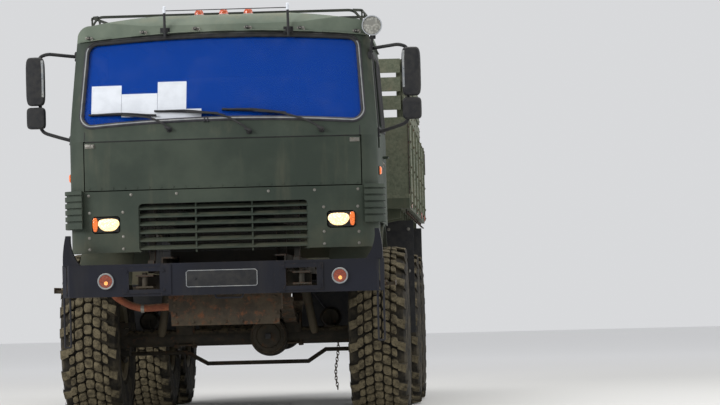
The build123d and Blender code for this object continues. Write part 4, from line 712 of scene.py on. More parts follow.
# Turn-button clips along the roof brim
draft = bmesh.new()
for x, z in ((0.945, 2.764), (0.555, 2.793), (0.183, 2.807)):
    for side in (-1, 1):
        spot, out = seen_front("cab_roof", side * x, z)
        place = stand_on(spot, out)
        slab(draft, (-0.026, -0.008, -0.001), (0.026, 0.008, 0.003), 0.0015, matrix=place)
        for px in (-0.02, 0.02):
            hex_bolt(draft, place @ Vector((px, 0, 0.003)), out, 0.005, 0.004, washer=False)
        button = bmesh.new()
        turn_profile(button, [(0, 0), (0, 0.012), (0.01, 0.012), (0.013, 0.009), (0.014, 0)], 20, axis="Z",
                     slot=1)
        turn_profile(button, [(0.0135, 0), (0.0135, 0.0065), (0.0165, 0.005), (0.0175, 0)], 16, axis="Z")
        set_in(draft, button, place @ Matrix.Translation((-0.004, 0, 0.002)))
        hook = ((0.006, 0, 0.01), (0.024, 0.003, 0.012), (0.028, -0.014, 0.012), (0.016, -0.019, 0.01))
        rod(draft, [place @ Vector(p) for p in hook], 0.0032, 0.006)
keep("roof_clips", draft, [ZINC, BLACK_PLASTIC], "cab")

# Two rods in clamps on the brim, with a thin rail between their tops
draft = bmesh.new()
rod_tops = []
for x, foot in ((-0.401, 2.748), (0.469, 2.733)):
    spot, out = seen_front("cab_roof", x, foot + 0.045)
    place = stand_on(spot, out)
    slab(draft, (-0.034, -0.026, -0.001), (0.034, 0.026, 0.004), 0.0015, matrix=place)
    slab(draft, (-0.02, -0.016, 0.004), (0.02, 0.016, 0.02), 0.003, matrix=place)
    for px in (-0.026, 0.026):
        for py in (-0.017, 0.017):
            hex_bolt(draft, place @ Vector((px, py, 0.004)), out, 0.006, 0.005, washer=False)
    stem = spot + out * 0.022
    top = Vector((x, stem.y - 0.006, 2.944))
    rod(draft, [stem + Vector((0, 0.001, -0.045)), top], 0.0092, sides=12)
    rod_tops.append(top)
rod(draft, [top - Vector((0, 0, 0.008)) for top in rod_tops], 0.0035)
keep("roof_rods", draft, BLACK_PLASTIC, "cab")
draft = bmesh.new()
for top in rod_tops:
    turn_profile(draft, [(-0.024, 0), (-0.024, 0.0108), (0, 0.0112), (0.018, 0.0108), (0.024, 0.0055),
                         (0.024, 0)], 16, top, "Z")
keep("roof_rod_tips", draft, PAPER, "cab")

# Orange marker lamps on the roof
draft = bmesh.new()
for x in (-0.175, 0, 0.175):
    spot, out = touch("cab_roof", (x, -3.33, 4.0), DOWN)
    centre = (x, -3.33, spot.z - 0.006)
    turn_profile(draft, [(0, 0), (0, 0.04), (0.008, 0.041), (0.011, 0.036), (0.011, 0)], 28, centre, "Z", 1)
    dome = [(0.011, 0.0335)]
    for i in range(1, 10):
        a = pi / 2 * i / 9
        ripple = 0.0012 if i % 2 else 0.0
        dome.append((0.012 + 0.038 * sin(a), (0.0335 - ripple) * cos(a) ** 0.7 if i < 9 else 0.0))
    turn_profile(draft, dome, 28, centre, "Z")
keep("marker_lamps", draft, [AMBER, PALE_RING], "cab")


# Headlamps: rounded glass over a bowl in the grille, with the turn lamp beside it
def lamp_face(draft, x, y, z, wide, high, foot_share, bulge, slot):
    """A moulded lamp glass with a flat top and a narrower rounded foot."""
    outline = [(squared(u), squared(v)) for u, v in circle(1.0, 40)]
    outline = [(u * wide / 2 * (1 - (1 - foot_share) * max(0, -v)), v * high / 2) for u, v in outline]
    loft(draft, [[(x + u * share, y - lift, z + v * share) for u, v in outline]
                 for share, lift in ((1.0, 0), (1.0, 0.008), (0.94, 0.008 + bulge * 0.35),
                                     (0.75, 0.008 + bulge * 0.75), (0.4, 0.008 + bulge))], slot, last=True)


draft = bmesh.new()
for side in (-1, 1):
    x, y = side * 0.82, cab_skin(0.82, 1.434)
    lamp_face(draft, x - side * 0.018, y + 0.003, 1.434, 0.148, 0.086, 0.66, 0.012, 0)
    lamp_face(draft, x + side * 0.077, y + 0.006, 1.436, 0.036, 0.096, 0.8, 0.006, 1)
    slab(draft, (x - 0.094, y + 0.002, 1.38), (x + 0.094, y + 0.066, 1.488), 0.012, slot=2)
# The headlamp and turn-lamp glasses glow as painted highlights.
keep("headlamps", draft, [CLEAR_GLARE_LENS, AMBER_GLARE_LENS, BLACK_PLASTIC], "cab")

draft = bmesh.new()
for side in (-1, 1):
    slab(draft, (side * 1.0725, -3.56, 1.742), (side * 1.0885, -3.49, 1.803), 0.004, slot=1)
    half_round = circle(1.0, 12)[:7]
    levels = ((-1.0, 0.2), (-0.85, 0.8), (-0.5, 1.0), (0.5, 1.0), (0.85, 0.8), (1.0, 0.2))
    loft(draft, [[(side * (1.0885 + 0.0145 * depth * s), -3.525 + 0.032 * c, 1.7725 + 0.028 * z)
                  for c, s in half_round] for z, depth in levels], around=False, first=True, last=True)
# The repeater glass glows as a painted highlight.
lamps = keep("side_repeaters", draft, [AMBER_GLARE_LENS, BLACK_PLASTIC], "cab")
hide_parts("cab_lamps")

# Wipers: curved arms from their spindles to blades that lie along the glass
WIPERS = [
    ([(-0.362, 2.098), (-0.4, 2.128), (-0.49, 2.176)], (-0.935, 2.208), (-0.455, 2.192)),
    ([(0.196, 2.07), (0.161, 2.098), (0.06, 2.16), (-0.03, 2.193)], (-0.47, 2.222), (-0.02, 2.194)),
    ([(0.698, 2.07), (0.64, 2.108), (0.559, 2.143), (0.404, 2.19)], (0.005, 2.222), (0.455, 2.186)),
]
LEANING = (0, -1, 0.36)
draft = bmesh.new()
for arm, tip, heel in WIPERS:
    base, out = seen_front("cab_front", arm[0][0], arm[0][1] - 0.012)
    place = stand_on(base, out)
    for radius, low, high in ((0.021, -0.002, 0.01), (0.014, 0.01, 0.028), (0.009, 0.028, 0.034)):
        bmesh.ops.create_cone(draft, cap_ends=True, segments=20, radius1=radius, radius2=radius * 0.9,
                              depth=high - low, matrix=place @ Matrix.Translation((0, 0, (low + high) / 2)))
    spots = [base + out * 0.024] + [on_skin(x, z, 0.034) for x, z in arm[1:]]
    spots.append(on_skin((tip[0] + heel[0]) / 2, (tip[1] + heel[1]) / 2, 0.03))
    run_along(draft, bent_path(spots, 0.05), [(-0.007, -0.002), (0.007, -0.002), (0.006, 0.0035), (-0.006, 0.0035)],
              LEANING)
    slab(draft, (-0.009, -0.016, 0), (0.009, 0.034, 0.013), 0.004,
         matrix=place @ Matrix.Translation((0, 0, 0.018)) @ Matrix.Rotation(1.15, 4, "Z"))
    blade = [on_skin(tip[0] + (heel[0] - tip[0]) * t, tip[1] + (heel[1] - tip[1]) * t + 0.004 * sin(pi * t), 0.006)
             for t in spread(0, 1, 17)]
    run_along(draft, blade, [(-0.002, -0.0225), (0.002, -0.0225), (0.002, -0.004), (0.006, 0), (0.005, 0.006),
                             (-0.005, 0.006), (-0.006, 0), (-0.002, -0.004)], LEANING)
    arch = [blade[i] + Vector((0, -reach, rise)) for i, reach, rise in (
        (2, 0.006, 0.002), (5, 0.018, 0.006), (8, 0.026, 0.009), (11, 0.018, 0.006), (14, 0.006, 0.002))]
    run_along(draft, bent_path(arch, 0.03), bar_outline(-0.004, 0.004, -0.0015, 0.0015), LEANING)
wiper_set = keep("wiper_set", draft, BLACK_PLASTIC, "cab")
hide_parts("wipers")

# Searchlight: chrome rim, ribbed glass, black bowl on a bracket
draft = bmesh.new()
centre = (1.059, 0, 2.79)
turn_profile(draft, [(-3.448, 0), (-3.448, 0.03), (-3.456, 0.044), (-3.48, 0.056), (-3.52, 0.066),
                     (-3.548, 0.069), (-3.548, 0)], 40, centre, "Y")
turn_profile(draft, [(-3.545, 0.069), (-3.545, 0.0725), (-3.56, 0.073), (-3.569, 0.07), (-3.5695, 0.065),
                     (-3.566, 0.0625), (-3.56, 0.062), (-3.55, 0.062)], 48, centre, "Y", 1)
turn_profile(draft, [(-3.56, 0.062), (-3.5635, 0.05), (-3.566, 0.03), (-3.567, 0)], 40, centre, "Y", 2)
for a in (0.3, 2.4, 4.5):
    hex_bolt(draft, (1.059 + 0.071 * cos(a), -3.556, 2.79 + 0.071 * sin(a)), (cos(a), 0, sin(a)), 0.004, 0.004, 1,
             washer=False)
bracket = [(1.059, -3.5, 2.73), (1.059, -3.5, 2.712), (1.05, -3.49, 2.66), (1.037, -3.47, 2.59)]
run_along(draft, bent_path(bracket, 0.02), circle(0.01, 12))
slab(draft, (1.022, -3.5, 2.56), (1.052, -3.45, 2.61), 0.005)
slab(draft, (1.036, -3.514, 2.7), (1.082, -3.486, 2.738), 0.006)
lamp = keep("search_lamp", draft, [BLACK_PLASTIC, CHROME, CLEAR], "cab")
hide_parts("searchlight")


# Mirrors: pillowed housings with glass in their backs on a bent tube frame
def mirror_head(draft, x, low, high):
    """A moulded housing, bulged to the front, with the mirror glass set in its back."""
    wide, tall, middle, front, back = 0.134, high - low, (low + high) / 2, -3.5495, -3.502
    outline = [(squared(u, 0.36) * wide / 2, squared(v, 0.36) * tall / 2) for u, v in circle(1.0, 32)]
    rings = loft(draft, [[(x + u * share, y, middle + v * (1 - (1 - share) * wide / tall)) for u, v in outline]
                         for share, y in ((0.9, back + 0.004), (0.97, back), (1.0, back - 0.004), (1.0, back - 0.022),
                                          (0.97, front + 0.01), (0.86, front + 0.002), (0.55, front))], last=True)
    draft.faces.new(rings[0]).material_index = 1


draft = bmesh.new()
for side in (-1, 1):
    x = side * 1.326
    mirror_head(draft, x, 2.292, 2.636)
    mirror_head(draft, x, 2.128, 2.282)
    # A pale strip down the inner edge of each housing's front: painted reflection of the sky on the housing's side.
    slab(draft, (side * 1.265, -3.5485, 2.352), (side * 1.284, -3.535, 2.612), 0.003, slot=2)
    for z in (2.372, 2.482, 2.592):
        hex_bolt(draft, (side * 1.2745, -3.5485, z), FRONT, 0.0028, 0.0012, washer=False)
    upper, _ = seen_side("cab_front cab_sides cab_roof", side, -3.405, 2.64)
    lower, _ = seen_side("cab_front cab_sides", side, -3.5, 2.04)
    inward = Vector((-side * 0.004, 0, 0))
    rod(draft, [upper + inward, (side * 1.24, -3.49, 2.66), (side * 1.3, -3.49, 2.64),
                (side * 1.3, -3.49, 2.11), (side * 1.18, -3.495, 2.07), lower + inward], 0.0125, 0.05, 14)
    for spot, z in ((upper, 2.64), (lower, 2.04)):
        slab(draft, (spot.x - 0.012, spot.y - 0.03, z - 0.035), (spot.x + 0.012, spot.y + 0.03, z + 0.035), 0.005)
        for step in (-0.022, 0.022):
            hex_bolt(draft, (spot.x + side * 0.012, spot.y, z + step), (side, 0, 0), 0.007, 0.006, washer=False)
    for z in (2.2, 2.4, 2.52):
        slab(draft, (x - 0.04, -3.506, z - 0.018), (x + 0.04, -3.474, z + 0.018), 0.006)
mirror_set = keep("mirror_set", draft, [BLACK_PLASTIC, MIRROR, PALE_RING], "cab")
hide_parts("mirrors")

# Bumper and tail lamps: rings, moulded glass and housings
draft = bmesh.new()
for side in (-1, 1):
    x, z = side * 0.81, 1.04
    turn_profile(draft, [(-3.916, 0), (-3.916, 0.055), (-3.926, 0.0565), (-3.9292, 0.054), (-3.9295, 0.05),
                         (-3.9265, 0.0465), (-3.924, 0.046), (-3.922, 0)], 40, (x, 0, z), "Y", 1)
    turn_profile(draft, [(-3.9225, 0.0455), (-3.9262, 0.044), (-3.928, 0.034), (-3.9289, 0.02), (-3.9292, 0)],
                 40, (x, 0, z), "Y")
    for a in (0.6, 2.5, 4.7):
        hex_bolt(draft, (x + 0.0508 * cos(a), -3.9282, z + 0.0508 * sin(a)), FRONT, 0.0022, 0.001, 2, washer=False)
    # A small bright disc low in each bumper lamp: a painted glint.
    turn_profile(draft, [(-3.928, 0), (-3.928, 0.015), (-3.9293, 0.012), (-3.9296, 0.006), (-3.9297, 0)], 20,
                 (x + 0.002, 0, 1.027), "Y", 5)
    x = side * 0.9
    slab(draft, (x - 0.108, 3.762, 1.48), (x + 0.108, 3.812, 1.576), 0.008, slot=2)
    for step, slot in ((-0.068, 3), (0, 0), (0.068, 4)):
        glass = x + side * step
        slab(draft, (glass - 0.031, 3.806, 1.49), (glass + 0.031, 3.8235, 1.566), 0.007, 3, slot)
    slab(draft, (x - 0.1095, 3.8, 1.4785), (x + 0.1095, 3.806, 1.5775), 0.002, slot=1)
lamps = keep("bumper_and_tail_lamps", draft, [AMBER_DEEP, PALE_RING, BLACK_PLASTIC, RED, CLEAR, AMBER_GLINT], "chassis")
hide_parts("chassis_lamps")

# Blank plate holder on the bumper: a thin pale bead round a dark field
PLATE_LINE = [(-0.252, 0.996), (-0.252, 1.088), (-0.24, 1.1), (0.226, 1.1), (0.238, 1.088), (0.238, 0.996),
              (0.228, 0.988), (-0.242, 0.988)]
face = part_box("front_bumper")[0][1] + 0.016
draft = bmesh.new()
run_along(draft, [(x, face - 0.002, z) for x, z in PLATE_LINE], circle(0.0028, 8), FRONT, closed=True)
keep("plate_bead", draft, PALE_RING, "chassis")
draft = bmesh.new()
slab(draft, (-0.249, face - 0.003, 0.99), (0.235, face + 0.001, 1.098), 0.001)
for x in (-0.19, 0.176):
    hex_bolt(draft, (x, face - 0.003, 1.043), FRONT, 0.006, 0.004)
keep("plate_field", draft, BLACK_PLASTIC, "chassis")

# Over-centre latches at the lid's upper corners
draft = bmesh.new()
for side in (-1, 1):
    spot, out = seen_front("front_lid", side * 0.925, 1.985)
    place = stand_on(spot, out)
    slab(draft, (-0.034, -0.014, -0.001), (0.034, 0.014, 0.003), 0.001, matrix=place)
    slab(draft, (-0.028, -0.006, 0.003), (0.03, 0.006, 0.009), 0.002, matrix=place)
    slab(draft, (0.016, -0.01, 0.003), (0.03, 0.01, 0.012), 0.002, matrix=place)
    for px in (-0.028, 0.006):
        hex_bolt(draft, place @ Vector((px, 0.01, 0.003)), out, 0.0035, 0.003, washer=False)
keep("lid_latches", draft, ZINC, "front_lid")

# Rivet row on the lid, and the dark joints round it
draft = bmesh.new()
for x in spread(-0.935, 0.935, 23):
    bolt_front(draft, "front_lid", x, 1.688, 0.0055, 0.004)
keep("lid_bolts", draft, SHADED_CAB_COLOUR, "front_lid")
draft = bmesh.new()
for z in (1.664, 2.0145):
    run_along(draft, [on_skin(x, z, -0.006) for x in spread(-0.955, 0.955, 41)],
              bar_outline(-0.0025, 0.0025, -0.004, 0.004), FRONT)
for side in (-1, 1):
    run_along(draft, [seen_front("cab_front", side * 0.962, z)[0] for z in spread(2.02, 2.086, 9)],
              bar_outline(-0.003, 0.003, -0.004, 0.0008), (0, -1, 0.2))
keep("lid_seam_rubber", draft, BLACK_PLASTIC, "cab")

# Rubber aprons behind the front wheels with their stay bars, gussets on the spare's carrier,
# and a short chain below one apron
draft = bmesh.new()
bars = bmesh.new()
for side in (-1, 1):
    left, right = sorted((side * 0.452, side * 1.07))
    slab(draft, (left, -1.834, 0.64), (right, -1.828, 1.03), 0.002, 1)
    slab(draft, (side * 0.37, -1.835, 0.68), (side * 0.46, -1.829, 0.928), 0.002, 1)
    for z in (0.66, 0.995):
        slab(bars, (left, -1.842, z - 0.014), (right, -1.834, z + 0.014), 0.002)
        for x in spread(left + 0.03, right - 0.03, 6):
            hex_bolt(bars, (x, -1.842, z), FRONT, 0.008, 0.006)
    slab(bars, (side * 0.428, -1.846, 0.98), (side * 0.462, -1.822, 1.02), 0.003)
for side in (-1, 1):
    left, right = sorted((side * 0.2, side * 0.418))
    slab(bars, (left, -1.366, 1.202), (right, -1.358, 1.345), 0.002)
    for x in (left + 0.025, right - 0.025):
        hex_bolt(bars, (x, -1.366, 1.32), FRONT, 0.009, 0.007)
for i in range(19):
    link = bmesh.new()
    turn_profile(link, [(u, 0.0095 + v) for u, v in circle(0.003, 8)], 12)
    bmesh.ops.transform(link, matrix=Matrix.Diagonal((1.0, 1.0, 1.7, 1.0)), verts=link.verts)
    set_in(bars, link, Matrix.Translation((0.668 + 0.012 * sin(i * 0.35), -1.846, 0.64 - 0.0235 * i))
           @ Matrix.Rotation((i % 2) * pi / 2 + 0.4, 4, "Z"))
keep("wheel_aprons", draft, BLACK_PLASTIC, "chassis")
keep("apron_bars", bars, FRAME_PAINT, "chassis")

# Dark mesh behind the grille's slats
draft = bmesh.new()
wire, behind = circle(0.0013, 4), cab_skin(0.59, 1.4) + 0.048
for i in range(60):
    x = -0.58 + 1.16 * (i + 0.5) / 60
    run_along(draft, [(x, behind, 1.232), (x, behind, 1.583)], wire, FRONT)
for z in spread(1.24, 1.575, 18):
    run_along(draft, [(-0.59, behind + 0.002, z), (0.59, behind + 0.002, z)], wire, FRONT)
keep("grille_mesh", draft, BLACK_PLASTIC, "cab")

# Bolts along the grille panel's edges and round the lamp openings
draft = bmesh.new()
for side in (-1, 1):
    for x, z in ((0.94, 1.64), (0.64, 1.64), (0.32, 1.64), (0.94, 1.265), (0.7, 1.265), (0.94, 1.345),
                 (0.7, 1.52), (0.7, 1.35), (0.936, 1.52)):
        bolt_front(draft, "grille", side * x, z, 0.007, 0.005)
keep("grille_bolts", draft, ZINC, "cab")


# Wheel trim: nuts on the studs, hub cover bolts, valve and brake drum edge
def wheel_trim():
    """Nuts and valve of one wheel about its own axle line, open side to +X."""
    draft = bmesh.new()
    for u, v in circle(0.143, 8):
        hex_bolt(draft, (0.0205, v, u), LEFT, 0.0195, 0.024)
    for u, v in circle(0.047, 10, pi / 10):
        hex_bolt(draft, (0.0945, v, u), LEFT, 0.007, 0.006)
    for u, v in circle(1.0, 12):
        hex_bolt(draft, (0.0605, 0.104 * v, 0.104 * u), (0.8, 0.5 * v, 0.5 * u), 0.0065, 0.006, washer=False)
    turn_profile(draft, [(0.094, 0), (0.094, 0.016), (0.101, 0.015), (0.103, 0.01), (0.103, 0)], 20)
    rod(draft, [(0.06, 0, 0.236), (0.085, 0, 0.228), (0.112, 0, 0.234)], 0.0048, sides=10)
    turn_profile(draft, [(0.108, 0), (0.108, 0.0065), (0.124, 0.0065), (0.127, 0.004), (0.127, 0)], 10,
                 (0, 0, 0.234))
    turn_profile(draft, [(0.1795, 0.296), (0.1845, 0.2985), (0.185, 0.292), (0.18, 0.289)], 72)
    return as_mesh("wheel_trim", draft)


trim = wheel_trim()
for row, y in WHEELS.items():
    for side, corner in SIDES:
        turn = Matrix.Rotation(0 if side > 0 else pi, 4, "Z")
        keep(f"wheel_trim_{row}_{corner}", trim, ZINC, f"wheel_{row}_{corner}",
             place=Matrix.Translation((side * TRACK / 2, y, HUB)) @ turn)


# Rubbers round the side windows and the window in the back wall
def pane_loop(corners, turn, pitch=0.03):
    """A closed outline through flat corners, each rounded to the radius, with no step longer than the pitch."""
    spots = [Vector(c) for c in corners]
    loop = []
    for i, corner in enumerate(spots):
        loop += rounded_corner(spots[i - 1], corner, spots[(i + 1) % len(spots)], turn, 6)
    points = []
    for spot, after in zip(loop, loop[1:] + loop[:1]):
        count = max(1, ceil((after - spot).length / pitch))
        points += [spot + (after - spot) * j / count for j in range(count)]
    return points


DOOR_PANE = [(-3.374, 2.088), (-3.249, 2.627), (-2.563, 2.627), (-2.563, 2.088)]
QUARTER_PANE = [(-2.402, 2.108), (-2.402, 2.627), (-2.078, 2.627), (-2.078, 2.108)]
BACK_WALL_PANE = [(-0.462, 2.178), (-0.462, 2.582), (0.462, 2.582), (0.462, 2.178)]
BEAD = [(-0.013, -0.004), (-0.013, 0.004), (-0.006, 0.009), (0.004, 0.009), (0.01, 0.004), (0.016, -0.004)]
for side, corner in SIDES:
    door = f"door_{corner}"
    for name, pane, carriers, body in ((f"door_rubber_{corner}", DOOR_PANE, door, door),
                                       (f"quarter_rubber_{corner}", QUARTER_PANE, "cab_sides cab_back", "cab")):
        draft = bmesh.new()
        run_along(draft, [seen_side(carriers, side, y, z)[0] for y, z in pane_loop(pane, 0.062)], BEAD,
                  (side, 0, 0.12), closed=True)
        keep(name, draft, BLACK_PLASTIC, body, smooth=50)
draft = bmesh.new()
run_along(draft, [(x, -1.9795, z) for x, z in pane_loop(BACK_WALL_PANE, 0.072)], BEAD, BACK, closed=True)
keep("back_wall_rubber", draft, BLACK_PLASTIC, "cab", smooth=50)

# Door furniture: lock on its plate, hinge bolts and drip rail
for side, corner in SIDES:
    door = f"door_{corner}"
    draft = bmesh.new()
    place = stand_on(*seen_side(door, side, -2.695, 1.85))
    slab(draft, (-0.055, -0.02, -0.001), (0.055, 0.02, 0.0035), 0.0015, matrix=place)
    lock = bmesh.new()
    turn_profile(lock, [(0, 0), (0, 0.011), (0.01, 0.0105), (0.012, 0.008), (0.012, 0)], 20,
                 (0.03, 0, 0.003), "Z")
    set_in(draft, lock, place)
    for z in (1.58, 1.98):
        for y in (-3.438, -3.398):
            for step in (-0.026, 0.026):
                bolt_side(draft, door, side, y, z + step, 0.0065, 0.005, washer=False)
    keep(f"door_fittings_{corner}", draft, ZINC, door)
    draft = bmesh.new()
    run_along(draft,
              [seen_side("cab_sides cab_roof cab_front", side, y, 2.716)[0] for y in spread(-3.24, -2.08, 25)],
              [(-0.002, -0.002), (0.014, -0.002), (0.014, 0.016), (0.011, 0.016), (0.009, 0.004), (-0.002, 0.004)],
              (side, 0, 0))
    keep(f"drip_rail_{corner}", draft, SHADED_CAB_COLOUR, "cab")

# Toothed step treads behind the bumper's ends, on brackets from it
TEETH = 11
TREAD_FRONT, TREAD_BACK = -3.815, -3.48
draft = bmesh.new()
for side in (-1, 1):
    pitch = (TREAD_BACK - TREAD_FRONT) / TEETH
    outline = [(TREAD_FRONT + pitch * (i + share), z) for i in range(TEETH)
               for share, z in ((0, 0.994), (0.3, 1.006), (0.7, 1.006), (0.99, 0.994))]
    outline += [(TREAD_BACK, 0.966), (TREAD_FRONT, 0.966)]
    for x in (1.118, 1.182):
        loft(draft, [[(side * edge_x, y, z) for y, z in outline] for edge_x in (x, x + 0.003)], first=True, last=True)
    for y in spread(TREAD_FRONT + 0.02, TREAD_BACK - 0.02, 8):
        slab(draft, (side * 1.118, y - 0.004, 0.968), (side * 1.185, y + 0.004, 0.988), 0.001)
    for y in (TREAD_FRONT + 0.012, TREAD_BACK - 0.012):
        slab(draft, (side * 1.08, y - 0.012, 0.964), (side * 1.12, y + 0.012, 0.974))
    slab(draft, (side * 1.078, -3.88, 0.958), (side * 1.088, TREAD_BACK, 1.0), 0.002)
keep("step_treads", draft, FRAME_PAINT, "chassis")

# Axles and springs: U bolts, diff covers with a square plug in front, brake chambers, dampers
draft = bmesh.new()
for x, rows, low, top in ((0.39, (-2.64,), 0.56, 0.796), (0.48, (0.7, 2.02), 0.545, 0.8)):
    for middle in (-x, x):
        near, far = middle - 0.06, middle + 0.06
        for y in rows:
            for bow in (y - 0.048, y + 0.048):
                rod(draft, [(near, bow, low), (near, bow, top), (far, bow, top), (far, bow, low)], 0.009, 0.016)
                for leg in (near, far):
                    hex_bolt(draft, (leg, bow, low + 0.006), DOWN, 0.015, 0.014)
            slab(draft, (middle - 0.08, y - 0.066, low + 0.006), (middle + 0.08, y + 0.066, low + 0.018), 0.003)
keep("spring_bolts", draft, RUSTY, "chassis")

DIFF_X = 0.225
draft = bmesh.new()
turn_profile(draft, [(-2.798, 0), (-2.798, 0.128), (-2.806, 0.126), (-2.812, 0.104), (-2.822, 0.086), (-2.826, 0.05),
                     (-2.827, 0)], 40, (DIFF_X, 0, HUB), "Y")
slab(draft, (DIFF_X - 0.02, -2.846, HUB - 0.02), (DIFF_X + 0.02, -2.822, HUB + 0.02), 0.003, slot=1)
for radius, proud in ((0.122, -2.815), (0.088, -2.829)):
    turn_profile(draft, [(-2.812, radius - 0.003), (proud, radius), (-2.812, radius + 0.003)], 40,
                 (DIFF_X, 0, HUB), "Y", 2)
for u, v in circle(0.115, 12):
    hex_bolt(draft, (DIFF_X + u, -2.806, HUB + v), FRONT, 0.0085, 0.008)
for y in (WHEELS["middle"], WHEELS["rear"]):
    turn_profile(draft, [(0.15, 0), (0.15, 0.118), (0.165, 0.112), (0.182, 0.07), (0.186, 0)], 36,
                 (0, y, HUB), "Y")
    for u, v in circle(0.104, 12):
        hex_bolt(draft, (u, y + 0.16, HUB + v), BACK, 0.0085, 0.01)
keep("axle_covers", draft, [DRIVE_IRON, BLACK_PLASTIC, RUSTY], "chassis")

draft = bmesh.new()
for side in (-1, 1):
    for y in WHEELS.values():
        x, can = side * 0.665, y + (0.15 if y > 0 else 0.135)
        turn_profile(draft, [(-0.062, 0), (-0.062, 0.058), (-0.03, 0.07), (-0.004, 0.071), (-0.004, 0.079),
                             (0.004, 0.079), (0.004, 0.071), (0.04, 0.066), (0.058, 0.04), (0.058, 0)], 28,
                     (x, can, HUB + 0.125), "Y")
        slab(draft, (x - 0.04, y - 0.03, HUB + 0.052), (x + 0.04, y + 0.1, HUB + 0.066), 0.004)
        slab(draft, (x - 0.01, can - 0.09, HUB + 0.05), (x + 0.01, can - 0.052, HUB + 0.135), 0.004)
        rod(draft, [(x, can + 0.05, HUB + 0.125), (x, can + 0.11, HUB + 0.14),
                    (side * 0.52, can + 0.14, HUB + 0.33), (side * 0.445, can + 0.12, HUB + 0.42)], 0.011,
            0.07, 10, 1)
keep("brake_chambers", draft, [DRIVE_IRON, SEAL_RUBBER], "chassis")

draft = bmesh.new()
for side in (-1, 1):
    foot, head = Vector((side * 0.56, -2.745, 0.64)), Vector((side * 0.47, -2.83, 1.12))
    length = (head - foot).length
    damper = bmesh.new()
    turn_profile(damper, [(0, 0), (0, 0.02), (0.02, 0.028), (0.03, 0.03), (length * 0.52, 0.03),
                          (length * 0.52, 0)], 20, axis="Z")
    turn_profile(damper, [(length * 0.45, 0), (length * 0.45, 0.034), (length - 0.03, 0.034),
                          (length - 0.02, 0.02), (length, 0.018), (length, 0)], 20, axis="Z")
    set_in(draft, damper, Matrix.Translation(foot) @ (head - foot).to_track_quat("Z", "Y").to_matrix().to_4x4())
    slab(draft, (head.x, head.y - 0.03, head.z - 0.03), (side * 0.425, head.y + 0.03, head.z + 0.03), 0.006)
keep("front_dampers", draft, FRAME_PAINT, "chassis")

# Crossbeam bolts, spring hangers, the reddish pipe and brake lines along the frame
draft = bmesh.new()
beam_low, beam_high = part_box("front_crossbeam")
for x in spread(-0.34, 0.34, 7):
    for z in (0.745, beam_high.z - 0.03):
        hex_bolt(draft, (x, beam_low.y, z), FRONT, 0.01, 0.008)
for side in (-1, 1):
    for z in (0.8, 0.86, 0.9):
        hex_bolt(draft, (side * 0.352, beam_low.y, z), FRONT, 0.012, 0.01)
    for y in (-3.34, -1.94):
        for dy, z in ((-0.028, 0.935), (0.028, 0.935), (0, 0.885)):
            hex_bolt(draft, (side * 0.43, y + dy, z), (side, 0, 0), 0.01, 0.009)
        turn_profile(draft, [(side * x, radius) for x, radius in ((0.432, 0), (0.432, 0.02), (0.446, 0.018),
                                                                  (0.446, 0))], 16, (0, y, 0.886))
keep("crossbeam_bolts", draft, RUSTY, "chassis")


def band(draft, half, inner, outer, steps, centre, axis="X", slot=0):
    """A clamp band round a pipe or a drum."""
    turn_profile(draft, [(-half, inner), (-half, outer), (half, outer), (half, inner)], steps, centre, axis, slot)


draft = bmesh.new()
rod(draft, [(-0.8, -3.7, 0.985), (-0.784, -3.56, 0.925), (-0.637, -3.54, 0.846), (-0.342, -3.6, 0.858),
            (-0.33, -3.64, 0.9), (-0.345, -3.7, 0.96)], 0.026, 0.09, 14)
for centre in ((-0.6, -3.5465, 0.8475), (-0.37, -3.594, 0.857)):
    band(draft, 0.012, 0.0275, 0.031, 20, centre, slot=1)
keep("red_pipe", draft, [RED_PIPE, ZINC], "chassis")

draft = bmesh.new()
for step, (x, z) in enumerate(((0.402, 1.045), (0.396, 1.075), (-0.4, 1.05), (-0.396, 1.085))):
    sign = 1 if x > 0 else -1
    path = [(x, -3.6, z)]
    path += [(x + 0.004 * sin(i * 2.1 + step), -3.6 + 7.1 * i / 14, z + 0.006 * sin(i * 1.3 + step * 2))
             for i in range(1, 15)]
    rod(draft, path, 0.006 if step % 2 else 0.008, 0.1, 6)
    for y in spread(-3.3, 3.3, 9):
        slab(draft, (x - sign * 0.006, y - 0.01, z - 0.012), (x + sign * 0.026, y + 0.01, z + 0.012), 0.002)
keep("frame_lines", draft, BLACK_PLASTIC, "chassis")

# Rail bolts and rivets down both sides of the frame
draft = bmesh.new()
for side in (-1, 1):
    for y in (-3.53, -1.4, -0.3, 1.36, 2.9, 3.74):
        for dy in (-0.026, 0.026):
            for z in (1.03, 1.075, 1.14):
                bolt_side(draft, "frame_rails", side, y + dy, z, 0.01, 0.008)
keep("rail_bolts", draft, RUSTY, "chassis")

